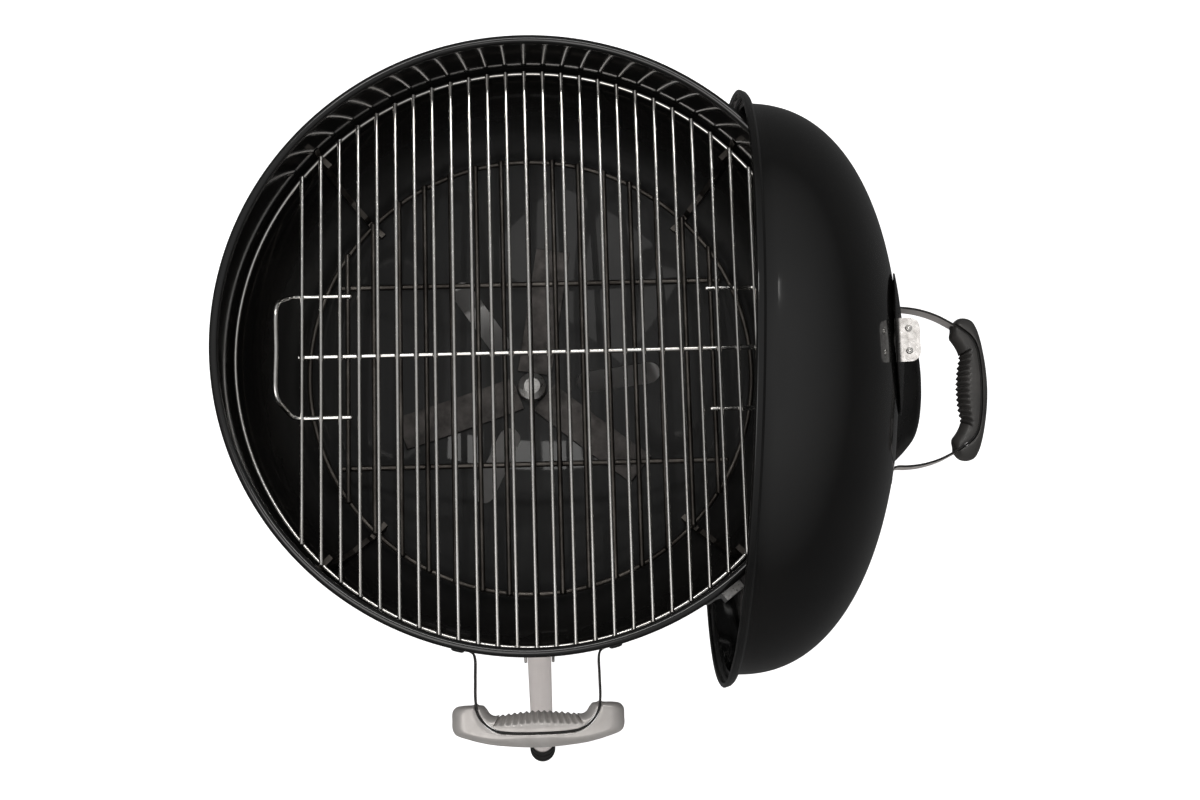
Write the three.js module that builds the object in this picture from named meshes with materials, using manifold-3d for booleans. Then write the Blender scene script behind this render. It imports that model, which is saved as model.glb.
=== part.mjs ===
// Kettle charcoal grill: a round bowl on three legs, with its lid hanging in a wire cradle at the side.
// Millimetres, +Z up, front leg towards -Y, lid towards +X. The origin is on the floor under the middle
// of the whole object. Inside the groups below, the origin is the centre of the bowl's rim.
import * as THREE from 'three';
import { mergeVertices } from 'three/addons/utils/BufferGeometryUtils.js';
import Module from 'manifold-3d';

const wasm = await Module();
wasm.setup();

const GAP = 0.3; // left between touching pieces
const RIM_HEIGHT = 690; // bowl rim above the floor
const SPHERE_STEPS = 32; // facets round the bowl and lid
const BOWL_STEPS = 8; // facets down the bowl's side

// Bowl
const BOWL = {
  radius: 281, taper: 1.5, straight: 80, depth: 240, wall: 2, rollRadius: 4.5, rollCentre: 281.5,
};
const VENT = { count: 3, inner: 46, outer: 130, width: 22, azimuth: -115 };

// Legs: each axis starts under the bowl and leans outwards
const LEG = { radius: 12.7, bore: 11, topRadius: 196, topZ: -185, run: 158, drop: 505, start: 22 };
const LEG_TILT = Math.atan2(LEG.run, LEG.drop);
const LEG_AZIMUTH = { front: -90, rear_right: 50, rear_left: 130 };
const FRONT_LEG_END = 520;
const REAR_LEG_END = 450;
const SOCKET = { radius: 16, bore: 13.1, start: -12, end: 78 };
const FOOT = { radius: 15.2, top: 504 };

// Wheels
const WHEEL = { radius: 100, width: 40, rimRadius: 84, hubRadius: 18, centreX: 246 };
const AXLE = { radius: 5, halfLength: 271, clearance: 0.35 };

// Grates
const COOKING = { z: -69.7, radius: 273, wire: 2, rod: 1.9, pitch: 17.6, rodsEachSide: 12 };
const CHARCOAL = { z: -165, radius: 216, wire: 2.6, rod: 2.4, pitch: 25.5, rodsEachSide: 7 };
const BRACKET_AZIMUTHS = [45, 135, 225, 315];

// Ash pan and its clips
const PAN = { z: -400, radius: 180, floorRadius: 148, depth: 24, sheet: 1.4 };
const CLIP = { wire: 1.6, innerRadius: 171, halfWidth: 21, endWidth: 14.7 };

// Sweeper under and inside the bowl
const SWEEPER = {
  azimuth: -160, spindle: 4, bladeInner: 16, bladeOuter: 140, bladeWidth: 34, leverZ: -262, leverEnd: 198,
};

// Lid, hanging on its side: its axis is horizontal, towards +X
const LID = { rim: 290, depth: 160.5, dome: 277, shoulder: 10.5, squareness: 2.3, wall: 2 };
const LID_CENTRE = new THREE.Vector3(189.5, -20, -165);
const LID_AZIMUTH = THREE.MathUtils.degToRad(-2.8);
const HANDLE_TILT = { pivot: -646, angle: THREE.MathUtils.degToRad(0.34) };
const DAMPER = {
  u: 21.5, v: 118, turn: 9, radius: 66, sheet: 1.6, holes: 4, holeRadius: 10, holeCircle: 36,
};
const TAB = { width: 39, height: 20, corner: 9 };
const CRADLE = { wire: 4, restRadius: 294.4, spread: 38, hookAngles: [-28, 0, 28] };

// Handles: half outlines, from the foot or the horn to the middle, as (along, outwards)
const FRONT_HANDLE = {
  z: -45,
  strap: [[80, 270.6], [70, 273.5], [60, 275.9], [56.5, 278.5], [55, 283], [55, 300], [55, 321],
    [52.9, 331.7], [46.8, 340.8], [37.7, 346.9], [27, 349], [13, 349.8], [0, 350]],
  innerHorn: [[50, 323.8], [46, 326], [42, 332], [37, 334.6]],
  outer: [[62, 324.2], [69, 326.5], [75.2, 331.6], [76, 336], [75.4, 342], [70.5, 348.6], [59, 353.6],
    [39, 358.2], [16, 361.4], [0, 362]],
  ribPeak: 329.4,
  ribDrop: 4,
};
const LID_HANDLE = {
  strap: [[98, 0], [88, 0], [81.5, 162.4], [79.4, 166.4], [78.9, 177], [76.9, 191], [71.5, 208],
    [62.5, 225], [58, 232], [51, 240.5], [41, 246], [21, 249.3], [0, 250.2]],
  innerHorn: [[56, 222.6], [50, 221.8], [45.5, 224], [40.5, 227.4]],
  outer: [[67, 226.4], [70.5, 231], [71.2, 237], [68.5, 243.5], [62, 247.6], [54, 250.4], [40, 253.6],
    [20, 256.8], [0, 258]],
  ribPeak: 226.6,
  ribDrop: 3.6,
};
const STRAP = { thickness: 2, width: 20 };
const RIBS = { eachSide: 6, pitch: 5.2, depth: 2.8 };
const GRIP_WIDTH = { inner: 23, outer: 27 };
const SHIELD = {
  halfWidth: 46, endReach: 110, sheet: 1.2, across: 10,
  rise: [[0, 24.4], [15, 24.2], [35, 22.9], [50, 20.1], [62, 14], [70, 9], [75, 4.5], [79.5, 0.8], [86, 0],
    [96, 0]],
};
const BOLT = { head: 6, headHeight: 1.8, shank: 2.6, hole: 3 };

// --- materials -------------------------------------------------------------------------------------
const finish = (color, roughness, metalness) => () => (
  new THREE.MeshStandardMaterial({ color, roughness, metalness })
);
const enamel = finish(0x0b0b0c, 0.12, 0.1);
const aluminium = finish(0xb9b6b2, 0.45, 0.9);
const chromedWire = finish(0xc4bfb8, 0.25, 1.0);
const steel = finish(0x9a9895, 0.35, 1.0);
const darkSteel = finish(0x3a3836, 0.5, 0.9);
const gripPlastic = finish(0x3b3d40, 0.5, 0.0);
const blackPlastic = finish(0x161617, 0.6, 0.0);
const tyreRubber = finish(0x1b1b1b, 0.85, 0.0);

// --- solids ----------------------------------------------------------------------------------------
function signedVolume(position, index) {
  const [a, b, c] = [new THREE.Vector3(), new THREE.Vector3(), new THREE.Vector3()];
  let volume = 0;
  for (let i = 0; i < index.count; i += 3) {
    a.fromBufferAttribute(position, index.getX(i));
    b.fromBufferAttribute(position, index.getX(i + 1));
    c.fromBufferAttribute(position, index.getX(i + 2));
    volume += a.dot(b.cross(c)) / 6;
  }
  return volume;
}

// Welds a geometry's vertices and turns its faces outwards.
function closed(geometry) {
  geometry.deleteAttribute('normal');
  geometry.deleteAttribute('uv');
  const welded = mergeVertices(geometry, 1e-3);
  const { index } = welded;
  if (signedVolume(welded.attributes.position, index) < 0) {
    for (let i = 0; i < index.count; i += 3) {
      const first = index.getX(i);
      index.setX(i, index.getX(i + 1));
      index.setX(i + 1, first);
    }
  }
  return welded;
}

function toSolid(geometry) {
  const { attributes, index } = closed(geometry);
  return new wasm.Manifold(new wasm.Mesh({
    numProp: 3,
    vertProperties: new Float32Array(attributes.position.array),
    triVerts: new Uint32Array(index.array),
  }));
}

function toGeometry(solid) {
  const { vertProperties, triVerts } = solid.getMesh();
  const geometry = new THREE.BufferGeometry();
  geometry.setAttribute('position', new THREE.BufferAttribute(vertProperties, 3));
  geometry.setIndex(new THREE.BufferAttribute(triVerts, 1));
  return geometry;
}

const join = (geometries) => toGeometry(
  geometries.map(toSolid).reduce((whole, next) => whole.add(next)),
);
const cut = (geometry, cutters) => toGeometry(
  cutters.map(toSolid).reduce((whole, next) => whole.subtract(next), toSolid(geometry)),
);
const overlap = (geometry, limit) => toGeometry(toSolid(geometry).intersect(toSolid(limit)));

function part(name, geometry, material) {
  const mesh = new THREE.Mesh(closed(geometry), material());
  mesh.name = name;
  return mesh;
}

function place(object, position, rotation = [0, 0, 0]) {
  object.position.set(...position);
  object.rotation.set(...rotation);
  return object;
}

function group(...children) {
  const holder = new THREE.Group();
  holder.add(...children);
  return holder;
}

// --- shapes ----------------------------------------------------------------------------------------
const rad = THREE.MathUtils.degToRad;
const polar = (radius, azimuth) => [radius * Math.cos(rad(azimuth)), radius * Math.sin(rad(azimuth))];

// A solid of revolution about Z from (radius, height) pairs.
function turned(profile, steps) {
  const points = profile.map(([radius, height]) => new THREE.Vector2(radius, height));
  return new THREE.LatheGeometry(points, steps).rotateX(Math.PI / 2);
}
const turnedRing = (profile, steps) => turned([...profile, profile[0]], steps);

function plate(outline, thickness) {
  const shape = new THREE.Shape(outline.map(([x, y]) => new THREE.Vector2(x, y)));
  const geometry = new THREE.ExtrudeGeometry(shape, { depth: thickness, bevelEnabled: false });
  return geometry.translate(0, 0, -thickness / 2);
}

const rod = (radius, length, sides) => new THREE.CylinderGeometry(radius, radius, length, sides);
const rodAlongZ = (radius, length, sides) => rod(radius, length, sides).rotateX(Math.PI / 2);

function wireAlong(points, radius, steps, sides = 6) {
  const corners = Array.from({ length: sides }, (_, i) => {
    const [x, y] = polar(radius, (360 * i) / sides);
    return new THREE.Vector2(x, y);
  });
  const stops = points.map((p) => new THREE.Vector3(...p));
  const route = new THREE.CatmullRomCurve3(stops, false, 'centripetal');
  const section = new THREE.Shape(corners);
  return new THREE.ExtrudeGeometry(section, { steps, bevelEnabled: false, extrudePath: route });
}

const mirrored = (half) => [...half, ...half.slice(0, -1).reverse().map(([x, y]) => [-x, y])];

// The closed outline of a band of the given thickness round an open centre line.
function band(centreLine, thickness) {
  const sides = [[], []];
  centreLine.forEach(([x, y], i) => {
    const [x0, y0] = centreLine[Math.max(i - 1, 0)];
    const [x1, y1] = centreLine[Math.min(i + 1, centreLine.length - 1)];
    const length = Math.hypot(x1 - x0, y1 - y0);
    const [nx, ny] = [-(y1 - y0) / length, (x1 - x0) / length];
    sides[0].push([x + (nx * thickness) / 2, y + (ny * thickness) / 2]);
    sides[1].unshift([x - (nx * thickness) / 2, y - (ny * thickness) / 2]);
  });
  return sides.flat();
}

// --- bowl ------------------------------------------------------------------------------------------
// Radius of the bowl's outer face at a height below the rim; inset moves it inwards.
function bowlCurve(inset, steps, innerRadius = 0) {
  const bottom = BOWL.depth - BOWL.straight - inset;
  const side = BOWL.radius - BOWL.taper - inset;
  const start = Math.asin(innerRadius / side);
  return Array.from({ length: steps + 1 }, (_, i) => {
    const t = start + ((Math.PI / 2 - start) * i) / steps;
    return [side * Math.sin(t), -BOWL.straight - bottom * Math.cos(t)];
  });
}
const bowlInsideZ = (radius) => {
  const side = BOWL.radius - BOWL.taper - BOWL.wall;
  return -BOWL.straight - (BOWL.depth - BOWL.straight - BOWL.wall) * Math.sqrt(1 - (radius / side) ** 2);
};
const spindleHole = SWEEPER.spindle + 1;
function bowlBlock(inset) {
  const side = bowlCurve(inset, BOWL_STEPS, spindleHole);
  return turned([[0, side[0][1]], ...side, [BOWL.radius - inset, 0], [0, 0]], SPHERE_STEPS);
}

const strapBoltPlaces = [-1, 1].map((side) => ({ along: 70 * side, out: 273.5, z: FRONT_HANDLE.z }));

function bowl() {
  const roll = Array.from({ length: 7 }, (_, i) => {
    const [x, z] = polar(BOWL.rollRadius, -96 + 56 * i);
    return [BOWL.rollCentre + x, -BOWL.rollRadius + z];
  });
  const shell = turnedRing([
    ...bowlCurve(0, BOWL_STEPS, spindleHole), ...roll,
    ...bowlCurve(BOWL.wall, BOWL_STEPS, spindleHole).reverse(),
  ], SPHERE_STEPS);
  const vents = Array.from({ length: VENT.count }, (_, i) => {
    const [middle, half] = [(VENT.inner + VENT.outer) / 2, VENT.width / 2];
    const reach = (VENT.outer - VENT.inner) / 2 - half;
    const slot = new THREE.Shape();
    slot.absarc(middle + reach, 0, half, -Math.PI / 2, Math.PI / 2);
    slot.absarc(middle - reach, 0, half, Math.PI / 2, (3 * Math.PI) / 2);
    return new THREE.ExtrudeGeometry(slot, { depth: 60, bevelEnabled: false, curveSegments: 5 })
      .translate(0, 0, -BOWL.depth - 10).rotateZ(rad(VENT.azimuth + 120 * i));
  });
  const boltHoles = strapBoltPlaces.map(({ along, out, z }) => rod(BOLT.hole, 40, 8)
    .rotateZ(Math.atan2(along, out)).translate(along, -out, z));
  return part('bowl', cut(shell, [...vents, ...boltHoles]), enamel);
}

function grateBrackets() {
  const upper = COOKING.z - COOKING.wire - 0.5;
  const lower = CHARCOAL.z - CHARCOAL.wire - 0.5;
  const outline = [
    [300, -55], [277, -55], [276.5, upper], [262, upper], [262, upper - 6], [267, -90], [261, -120],
    [243, -147], [226, -159], [222, lower], [203, lower], [203, lower - 6], [213, -200], [300, -200],
  ];
  return BRACKET_AZIMUTHS.map((azimuth, i) => {
    const fin = plate(outline, 5).rotateX(Math.PI / 2).rotateZ(rad(azimuth));
    return part(`grate_bracket_${i + 1}`, overlap(fin, bowlBlock(BOWL.wall + 2 * GAP)), steel);
  });
}

// --- grates ----------------------------------------------------------------------------------------
function grateRods({ z, radius, wire, rod: rodRadius, pitch, rodsEachSide }) {
  const height = z + wire + rodRadius - 0.7;
  return Array.from({ length: 2 * rodsEachSide + 1 }, (_, i) => {
    const x = (i - rodsEachSide) * pitch;
    const reach = Math.sqrt(radius ** 2 - x ** 2) + wire;
    return rod(rodRadius, 2 * reach, 4).translate(x, 0, height);
  });
}
const grateRing = ({ z, radius, wire }) => new THREE.TorusGeometry(radius, wire, 5, 40).translate(0, 0, z);

function cookingGrate() {
  const under = COOKING.z + COOKING.wire - 0.2;
  const brace = rod(2.5, 430, 6).rotateZ(Math.PI / 2).translate(0, 0, under - 2.2);
  const handles = [-1, 1].map((side) => wireAlong([
    [165, -57.5, 0], [190, -57.5, 0], [212, -57.5, 0], [219, -56.5, 4], [224, -52, 16], [229, -46, 28],
    [231, -39, 32], [231, 0, 32], [231, 39, 32], [229, 46, 28], [224, 52, 16], [219, 56.5, 4],
    [212, 57.5, 0], [190, 57.5, 0], [165, 57.5, 0],
  ].map(([x, y, z]) => [side * x, y, under - 1.9 + z]), 2.3, 30));
  const whole = join([grateRing(COOKING), ...grateRods(COOKING), brace, ...handles]);
  return part('cooking_grate', whole, chromedWire);
}

function charcoalGrate() {
  const braces = [-90, 90].map((y) => rod(2.8, 380, 6).rotateZ(Math.PI / 2)
    .translate(0, y, CHARCOAL.z - 0.4));
  const whole = join([grateRing(CHARCOAL), ...grateRods(CHARCOAL), ...braces]);
  return part('charcoal_grate', whole, darkSteel);
}

// --- legs ------------------------------------------------------------------------------------------
// Brings a piece modelled down -Z from the leg's top into the bowl's frame.
const alongLeg = (geometry, azimuth) => geometry.rotateY(-LEG_TILT)
  .translate(LEG.topRadius, 0, LEG.topZ).rotateZ(rad(azimuth));
const tube = (outer, inner, start, end, steps) => turnedRing(
  [[inner, -end], [outer, -end], [outer, -start], [inner, -start]],
  steps,
);
const axlePoint = () => {
  const drop = LEG.topZ + RIM_HEIGHT - WHEEL.radius;
  const radius = LEG.topRadius + drop * Math.tan(LEG_TILT);
  return { y: radius * Math.sin(rad(LEG_AZIMUTH.rear_right)), z: WHEEL.radius - RIM_HEIGHT };
};
const axleRod = (radius, halfLength, steps) => rod(radius, 2 * halfLength, steps).rotateZ(Math.PI / 2)
  .translate(0, axlePoint().y, axlePoint().z);

function legs() {
  const front = alongLeg(tube(LEG.radius, LEG.bore, LEG.start, FRONT_LEG_END, 18), LEG_AZIMUTH.front);
  const pieces = [part('front_leg', front, aluminium)];
  const floorBlock = new THREE.BoxGeometry(900, 900, 100).translate(0, 0, -RIM_HEIGHT - 50);
  const cap = turned([[0, -560], [FOOT.radius, -560], [FOOT.radius, -FOOT.top - 1.5],
    [FOOT.radius - 1, -FOOT.top], [LEG.radius + GAP, -FOOT.top], [LEG.radius + GAP, -FRONT_LEG_END - GAP],
    [0, -FRONT_LEG_END - GAP]], 20);
  pieces.push(part('front_foot_cap', cut(alongLeg(cap, LEG_AZIMUTH.front), [floorBlock]), blackPlastic));
  for (const side of ['rear_left', 'rear_right']) {
    const azimuth = LEG_AZIMUTH[side];
    const leg = alongLeg(tube(LEG.radius, LEG.bore, LEG.start, REAR_LEG_END, 18), azimuth);
    const plug = turned([[0, -REAR_LEG_END - 3], [LEG.radius - 2, -REAR_LEG_END - 3],
      [LEG.radius, -REAR_LEG_END - GAP], [LEG.bore - GAP, -REAR_LEG_END - GAP],
      [LEG.bore - GAP, 12 - REAR_LEG_END], [0, 12 - REAR_LEG_END]], 14);
    const axleHole = axleRod(AXLE.radius + AXLE.clearance, 400, 14);
    pieces.push(part(`${side}_leg`, cut(leg, [axleHole]), aluminium));
    pieces.push(part(`${side}_leg_plug`, alongLeg(plug, azimuth), blackPlastic));
  }
  for (const [side, azimuth] of Object.entries(LEG_AZIMUTH)) {
    const socket = alongLeg(tube(SOCKET.radius, SOCKET.bore, SOCKET.start, SOCKET.end, 18), azimuth);
    pieces.push(part(`${side}_leg_socket`, cut(socket, [bowlBlock(-GAP)]), enamel));
  }
  return pieces;
}

function wheels() {
  const { y, z } = axlePoint();
  const pieces = [part('wheel_axle', axleRod(AXLE.radius, AXLE.halfLength, 14), steel)];
  const half = WHEEL.width / 2;
  const bore = AXLE.radius + AXLE.clearance;
  const tyreSteps = 32;
  const tyre = () => turnedRing([
    [WHEEL.rimRadius, -half + 3], [WHEEL.radius - 6, -half], [WHEEL.radius, -half + 8],
    [WHEEL.radius, half - 8], [WHEEL.radius - 6, half], [WHEEL.rimRadius, half - 3],
  ], tyreSteps);
  const rimSeat = (Math.cos(Math.PI / tyreSteps) * WHEEL.rimRadius) - GAP;
  const disc = () => turnedRing([[bore, -half], [WHEEL.hubRadius, -half], [WHEEL.hubRadius + 3, -4],
    [WHEEL.rimRadius - 8, -4], [rimSeat, -half + 5], [rimSeat, half - 5], [WHEEL.rimRadius - 8, 4],
    [WHEEL.hubRadius + 3, 4], [WHEEL.hubRadius, half], [bore, half]], 28);
  const cap = () => turned([[0, half + 9], [10, half + 8.5], [14, half + 5], [15, half + GAP],
    [AXLE.radius + 2, half + GAP], [AXLE.radius + 2, half + 6.5], [0, half + 6.5]], 18);
  for (const [side, sign] of [['left', -1], ['right', 1]]) {
    const seat = (name, geometry, material) => place(
      part(`${side}_wheel_${name}`, geometry.rotateY((sign * Math.PI) / 2), material),
      [sign * WHEEL.centreX, y, z],
    );
    pieces.push(seat('tyre', tyre(), tyreRubber));
    pieces.push(seat('disc', disc(), blackPlastic));
    pieces.push(seat('cap', cap(), aluminium));
  }
  return pieces;
}

// --- ash pan ---------------------------------------------------------------------------------------
function ashPan() {
  const { z, radius, floorRadius, depth, sheet } = PAN;
  const rim = radius - 12;
  const dish = turned([[0, z - depth], [floorRadius, z - depth], [rim, z - sheet], [radius, z - sheet],
    [radius, z], [rim - 1, z], [floorRadius - 1, z - depth + sheet], [0, z - depth + sheet]], 40);
  return part('ash_pan', dish, aluminium);
}

// Each clip is a wire loop: closed under the pan's flange, its two ends at the sides of the leg.
function panClips() {
  const z = PAN.z - PAN.sheet - CLIP.wire - GAP;
  const legRadius = LEG.topRadius + (LEG.topZ - z) * Math.tan(LEG_TILT);
  const { innerRadius, halfWidth, endWidth } = CLIP;
  const half = [
    [legRadius + 3, endWidth], [legRadius - 12, endWidth + 0.4], [innerRadius + 30, halfWidth],
    [innerRadius + 10, halfWidth - 1], [innerRadius + 3, halfWidth - 8], [innerRadius, 5],
  ];
  const route = [...half, ...half.map(([x, y]) => [x, -y]).reverse()].map(([x, y]) => [x, y, z]);
  return Object.entries(LEG_AZIMUTH).map(([side, azimuth]) => part(
    `${side}_pan_clip`,
    wireAlong(route, CLIP.wire, 22, 5).rotateZ(rad(azimuth)),
    steel,
  ));
}

// --- sweeper ---------------------------------------------------------------------------------------
function sweeper() {
  const { spindle, bladeInner, bladeOuter, bladeWidth, leverZ, leverEnd, azimuth } = SWEEPER;
  const hubTop = bowlInsideZ(0) + 14;
  const pin = turned([
    [0, leverZ - 3], [spindle, leverZ - 3], [spindle, hubTop - 12], [bladeInner - 1, hubTop - 12],
    [bladeInner - 2, hubTop - 3], [8, hubTop], [0, hubTop],
  ], 16);
  const bladeLine = Array.from({ length: 6 }, (_, i) => {
    const radius = bladeInner - 0.7 + ((bladeOuter - bladeInner) * i) / 5;
    return [radius, bowlInsideZ(Math.hypot(radius, bladeWidth / 2)) + 2.4];
  });
  const pieces = [part('sweeper_spindle', pin, steel)];
  for (let i = 0; i < 3; i += 1) {
    const blade = plate(band(bladeLine, 1.6), bladeWidth).rotateX(Math.PI / 2);
    const turnedBlade = blade.rotateZ(rad(azimuth + 120 * i));
    const hubRadius = bladeInner - 0.6;
    const hub = turned([[0, leverZ], [hubRadius, leverZ], [hubRadius, hubTop + 5], [0, hubTop + 5]], 24);
    pieces.push(part(`sweeper_blade_${i + 1}`, cut(turnedBlade, [hub]), aluminium));
  }
  const bar = plate([[spindle + GAP, -5], [leverEnd, -5], [leverEnd, 5], [spindle + GAP, 5]], 3);
  const eye = rodAlongZ(11, 3, 16);
  const lever = cut(join([bar, eye]), [rodAlongZ(spindle + GAP, 20, 16)]);
  pieces.push(part('sweeper_lever', lever.translate(0, 0, leverZ).rotateZ(rad(azimuth)), steel));
  const knob = turned([[0, 0], [7, 0], [8.5, 4], [7.5, 22], [6, 26], [0, 28]], 14);
  const grip = knob.rotateY(Math.PI / 2).translate(leverEnd + GAP, 0, leverZ).rotateZ(rad(azimuth));
  pieces.push(part('sweeper_lever_knob', grip, blackPlastic));
  return pieces;
}

// --- handles ---------------------------------------------------------------------------------------
const boltShape = (shankLength) => turned([[0, -shankLength], [BOLT.shank, -shankLength], [BOLT.shank, 0],
  [BOLT.head, 0], [BOLT.head, BOLT.headHeight * 0.6], [BOLT.head * 0.6, BOLT.headHeight],
  [0, BOLT.headHeight]], 12);

// The strap, the ribbed inner half and the outer half, in the XY plane with Y pointing outwards.
function handlePieces(prefix, { strap, innerHorn, outer, ribPeak, ribDrop }, strapCutters) {
  const strapShape = plate(band(mirrored(strap), STRAP.thickness), STRAP.width);
  const embedded = strap.slice(strap.findIndex(([, out]) => out >= innerHorn[0][1]));
  const offset = STRAP.thickness + 2 * GAP;
  const slot = band(mirrored(embedded), offset);
  const inside = slot.slice(0, slot.length / 2);
  const outside = slot.slice(slot.length / 2);
  const ribs = [];
  for (let k = -RIBS.eachSide; k <= RIBS.eachSide; k += 1) {
    const peak = ribPeak + ribDrop * (k / (RIBS.eachSide + 0.5)) ** 2;
    ribs.push([(k - 0.5) * RIBS.pitch, peak + RIBS.depth], [k * RIBS.pitch, peak]);
  }
  ribs.push([(RIBS.eachSide + 0.5) * RIBS.pitch, ribs[0][1]]);
  const left = innerHorn.map(([x, y]) => [-x, y]);
  const innerOutline = [...inside, ...left, ...ribs, ...[...innerHorn].reverse()];
  const outerOutline = [...outside, ...mirrored(outer)];
  return [
    part(`${prefix}_handle_strap`, cut(strapShape, strapCutters), steel),
    part(`${prefix}_handle_inner_grip`, plate(innerOutline, GRIP_WIDTH.inner), gripPlastic),
    part(`${prefix}_handle_outer_grip`, plate(outerOutline, GRIP_WIDTH.outer), gripPlastic),
  ];
}

function frontHandle() {
  const seats = strapBoltPlaces.map(({ along, out }) => ({ along, out, lean: -Math.atan2(along, out) }));
  const holes = seats.map(({ along, out, lean }) => (
    rod(BOLT.hole, 20, 8).rotateZ(lean).translate(along, out, 0)
  ));
  const bolts = seats.map(({ along, out, lean }, i) => part(
    `front_handle_bolt_${i + 1}`,
    boltShape(6).rotateX(-Math.PI / 2).translate(0, STRAP.thickness / 2 + GAP, 0).rotateZ(lean)
      .translate(along, out, 0),
    steel,
  ));
  return place(
    group(...handlePieces('front', FRONT_HANDLE, holes), ...bolts),
    [0, 0, FRONT_HANDLE.z],
    [0, 0, Math.PI],
  );
}

// --- lid, in its own frame: u along X, v along Y, its axis along Z from the rim's plane to the crown ---
const domeHeight = (radius, inset = 0) => {
  const [side, rise, power] = [LID.dome - inset, LID.depth - LID.shoulder - inset, LID.squareness];
  return LID.shoulder + rise * (1 - (radius / side) ** power) ** (1 / power);
};
function domeCurve(inset, steps) {
  const [side, rise] = [LID.dome - inset, LID.depth - LID.shoulder - inset];
  return Array.from({ length: steps + 1 }, (_, i) => {
    const t = (Math.PI / 2) * (1 - i / steps);
    const power = 2 / LID.squareness;
    return [side * Math.sin(t) ** power, LID.shoulder + rise * Math.cos(t) ** power];
  });
}

// Places a piece modelled about Z on the dome at (u, v), with its Z along the dome's outward normal.
function onDome(geometry, u, v) {
  const radius = Math.hypot(u, v);
  const step = 0.5;
  const slope = (domeHeight(radius - step) - domeHeight(radius + step)) / (2 * step);
  const normal = new THREE.Vector3((slope * u) / radius, (slope * v) / radius, 1).normalize();
  const turn = new THREE.Quaternion().setFromUnitVectors(new THREE.Vector3(0, 0, 1), normal);
  return geometry.applyQuaternion(turn).translate(u, v, domeHeight(radius));
}

const strapFootU = 91;
const handleTilt = new THREE.Matrix4().makeTranslation(0, 0, HANDLE_TILT.pivot)
  .multiply(new THREE.Matrix4().makeRotationY(HANDLE_TILT.angle))
  .multiply(new THREE.Matrix4().makeTranslation(0, 0, -HANDLE_TILT.pivot));
const onDamperSeat = (geometry) => onDome(geometry.rotateZ(rad(DAMPER.turn)), DAMPER.u, DAMPER.v);
const ventHoles = (radius, depth) => Array.from({ length: DAMPER.holes }, (_, i) => {
  const [x, y] = polar(DAMPER.holeCircle, (360 / DAMPER.holes) * i);
  return rodAlongZ(radius, depth, 10).translate(x, y, 0);
});

function lidShell() {
  const { rim, wall, dome } = LID;
  const outerSide = [[rim - 2.6, 0], [rim, 1.8], [rim - 0.8, 4], [rim - 1.8, 6.8], [rim - 4.4, 9.2],
    [dome + 1.5, 9.6]];
  const innerSide = [[rim - 5.2, 1.4], [rim - 4, 4], [rim - 4.6, 6.6], [dome - wall - 1, 8.2]];
  const shell = turned([...domeCurve(wall, 9).reverse(), ...innerSide.reverse(), ...outerSide,
    ...domeCurve(0, 9)], SPHERE_STEPS);
  const vents = [...ventHoles(DAMPER.holeRadius, 30), rodAlongZ(3.4, 30, 10)].map(onDamperSeat);
  const boltHoles = [-1, 1].map((side) => (
    onDome(rodAlongZ(BOLT.hole, 20, 8), side * strapFootU, 0).applyMatrix4(handleTilt)
  ));
  return part('lid_shell', cut(shell, [...vents, ...boltHoles]), enamel);
}

// A pressed dish: its edge follows the dome, its middle rises under the handle.
function heatShield() {
  const { halfWidth, endReach, sheet, across, rise } = SHIELD;
  const stations = [...rise.slice(1).reverse().map(([u, lift]) => [-u, lift]), ...rise];
  const columns = across + 1;
  const layerSize = stations.length * columns;
  const points = [];
  for (const layer of [1, -1]) {
    for (const [u, lift] of stations) {
      const reach = halfWidth * Math.sqrt(1 - (u / endReach) ** 2);
      for (let k = 0; k < columns; k += 1) {
        const share = (2 * k) / across - 1;
        const bulge = lift * (1 - Math.abs(share) ** 2.5);
        const under = domeHeight(Math.hypot(u, share * reach)) + GAP + 0.3;
        points.push(u, share * reach, under + bulge + ((1 + layer) * sheet) / 2);
      }
    }
  }
  const index = [];
  const quad = (a, b, c, d) => index.push(a, b, c, a, c, d);
  for (let i = 0; i + 1 < stations.length; i += 1) {
    for (let k = 0; k < across; k += 1) {
      const top = i * columns + k;
      const under = top + layerSize;
      quad(top, top + columns, top + columns + 1, top + 1);
      quad(under, under + 1, under + columns + 1, under + columns);
    }
  }
  const last = layerSize - columns;
  const edge = [];
  for (let i = 0; i < layerSize - columns; i += columns) edge.push(i);
  for (let k = 0; k < across; k += 1) edge.push(last + k);
  for (let i = last; i > 0; i -= columns) edge.push(i + across);
  for (let k = across; k > 0; k -= 1) edge.push(k);
  edge.forEach((a, i) => {
    const b = edge[(i + 1) % edge.length];
    quad(b, a, a + layerSize, b + layerSize);
  });
  const dish = new THREE.BufferGeometry();
  dish.setAttribute('position', new THREE.Float32BufferAttribute(points, 3));
  dish.setIndex(index);
  const holes = [-1, 1].map((side) => onDome(rodAlongZ(BOLT.hole, 20, 8), side * strapFootU, 0));
  return part('lid_heat_shield', cut(dish, holes), blackPlastic);
}

function lidHandle() {
  const lift = SHIELD.sheet + 2 * GAP + 0.3 + STRAP.thickness / 2 + GAP;
  const strap = LID_HANDLE.strap.map(([u, w]) => [u, w || domeHeight(u) + lift]);
  const handle = { ...LID_HANDLE, strap };
  const holes = [-1, 1].map((side) => (
    onDome(rodAlongZ(BOLT.hole, 30, 8), side * strapFootU, 0).rotateX(-Math.PI / 2)
  ));
  const pieces = group(...handlePieces('lid', handle, holes));
  const bolts = [-1, 1].map((side, i) => part(
    `lid_handle_bolt_${i + 1}`,
    onDome(boltShape(14).translate(0, 0, lift + STRAP.thickness / 2 + 3 * GAP), side * strapFootU, 0),
    steel,
  ));
  return group(place(pieces, [0, 0, 0], [Math.PI / 2, 0, 0]), ...bolts);
}

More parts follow.
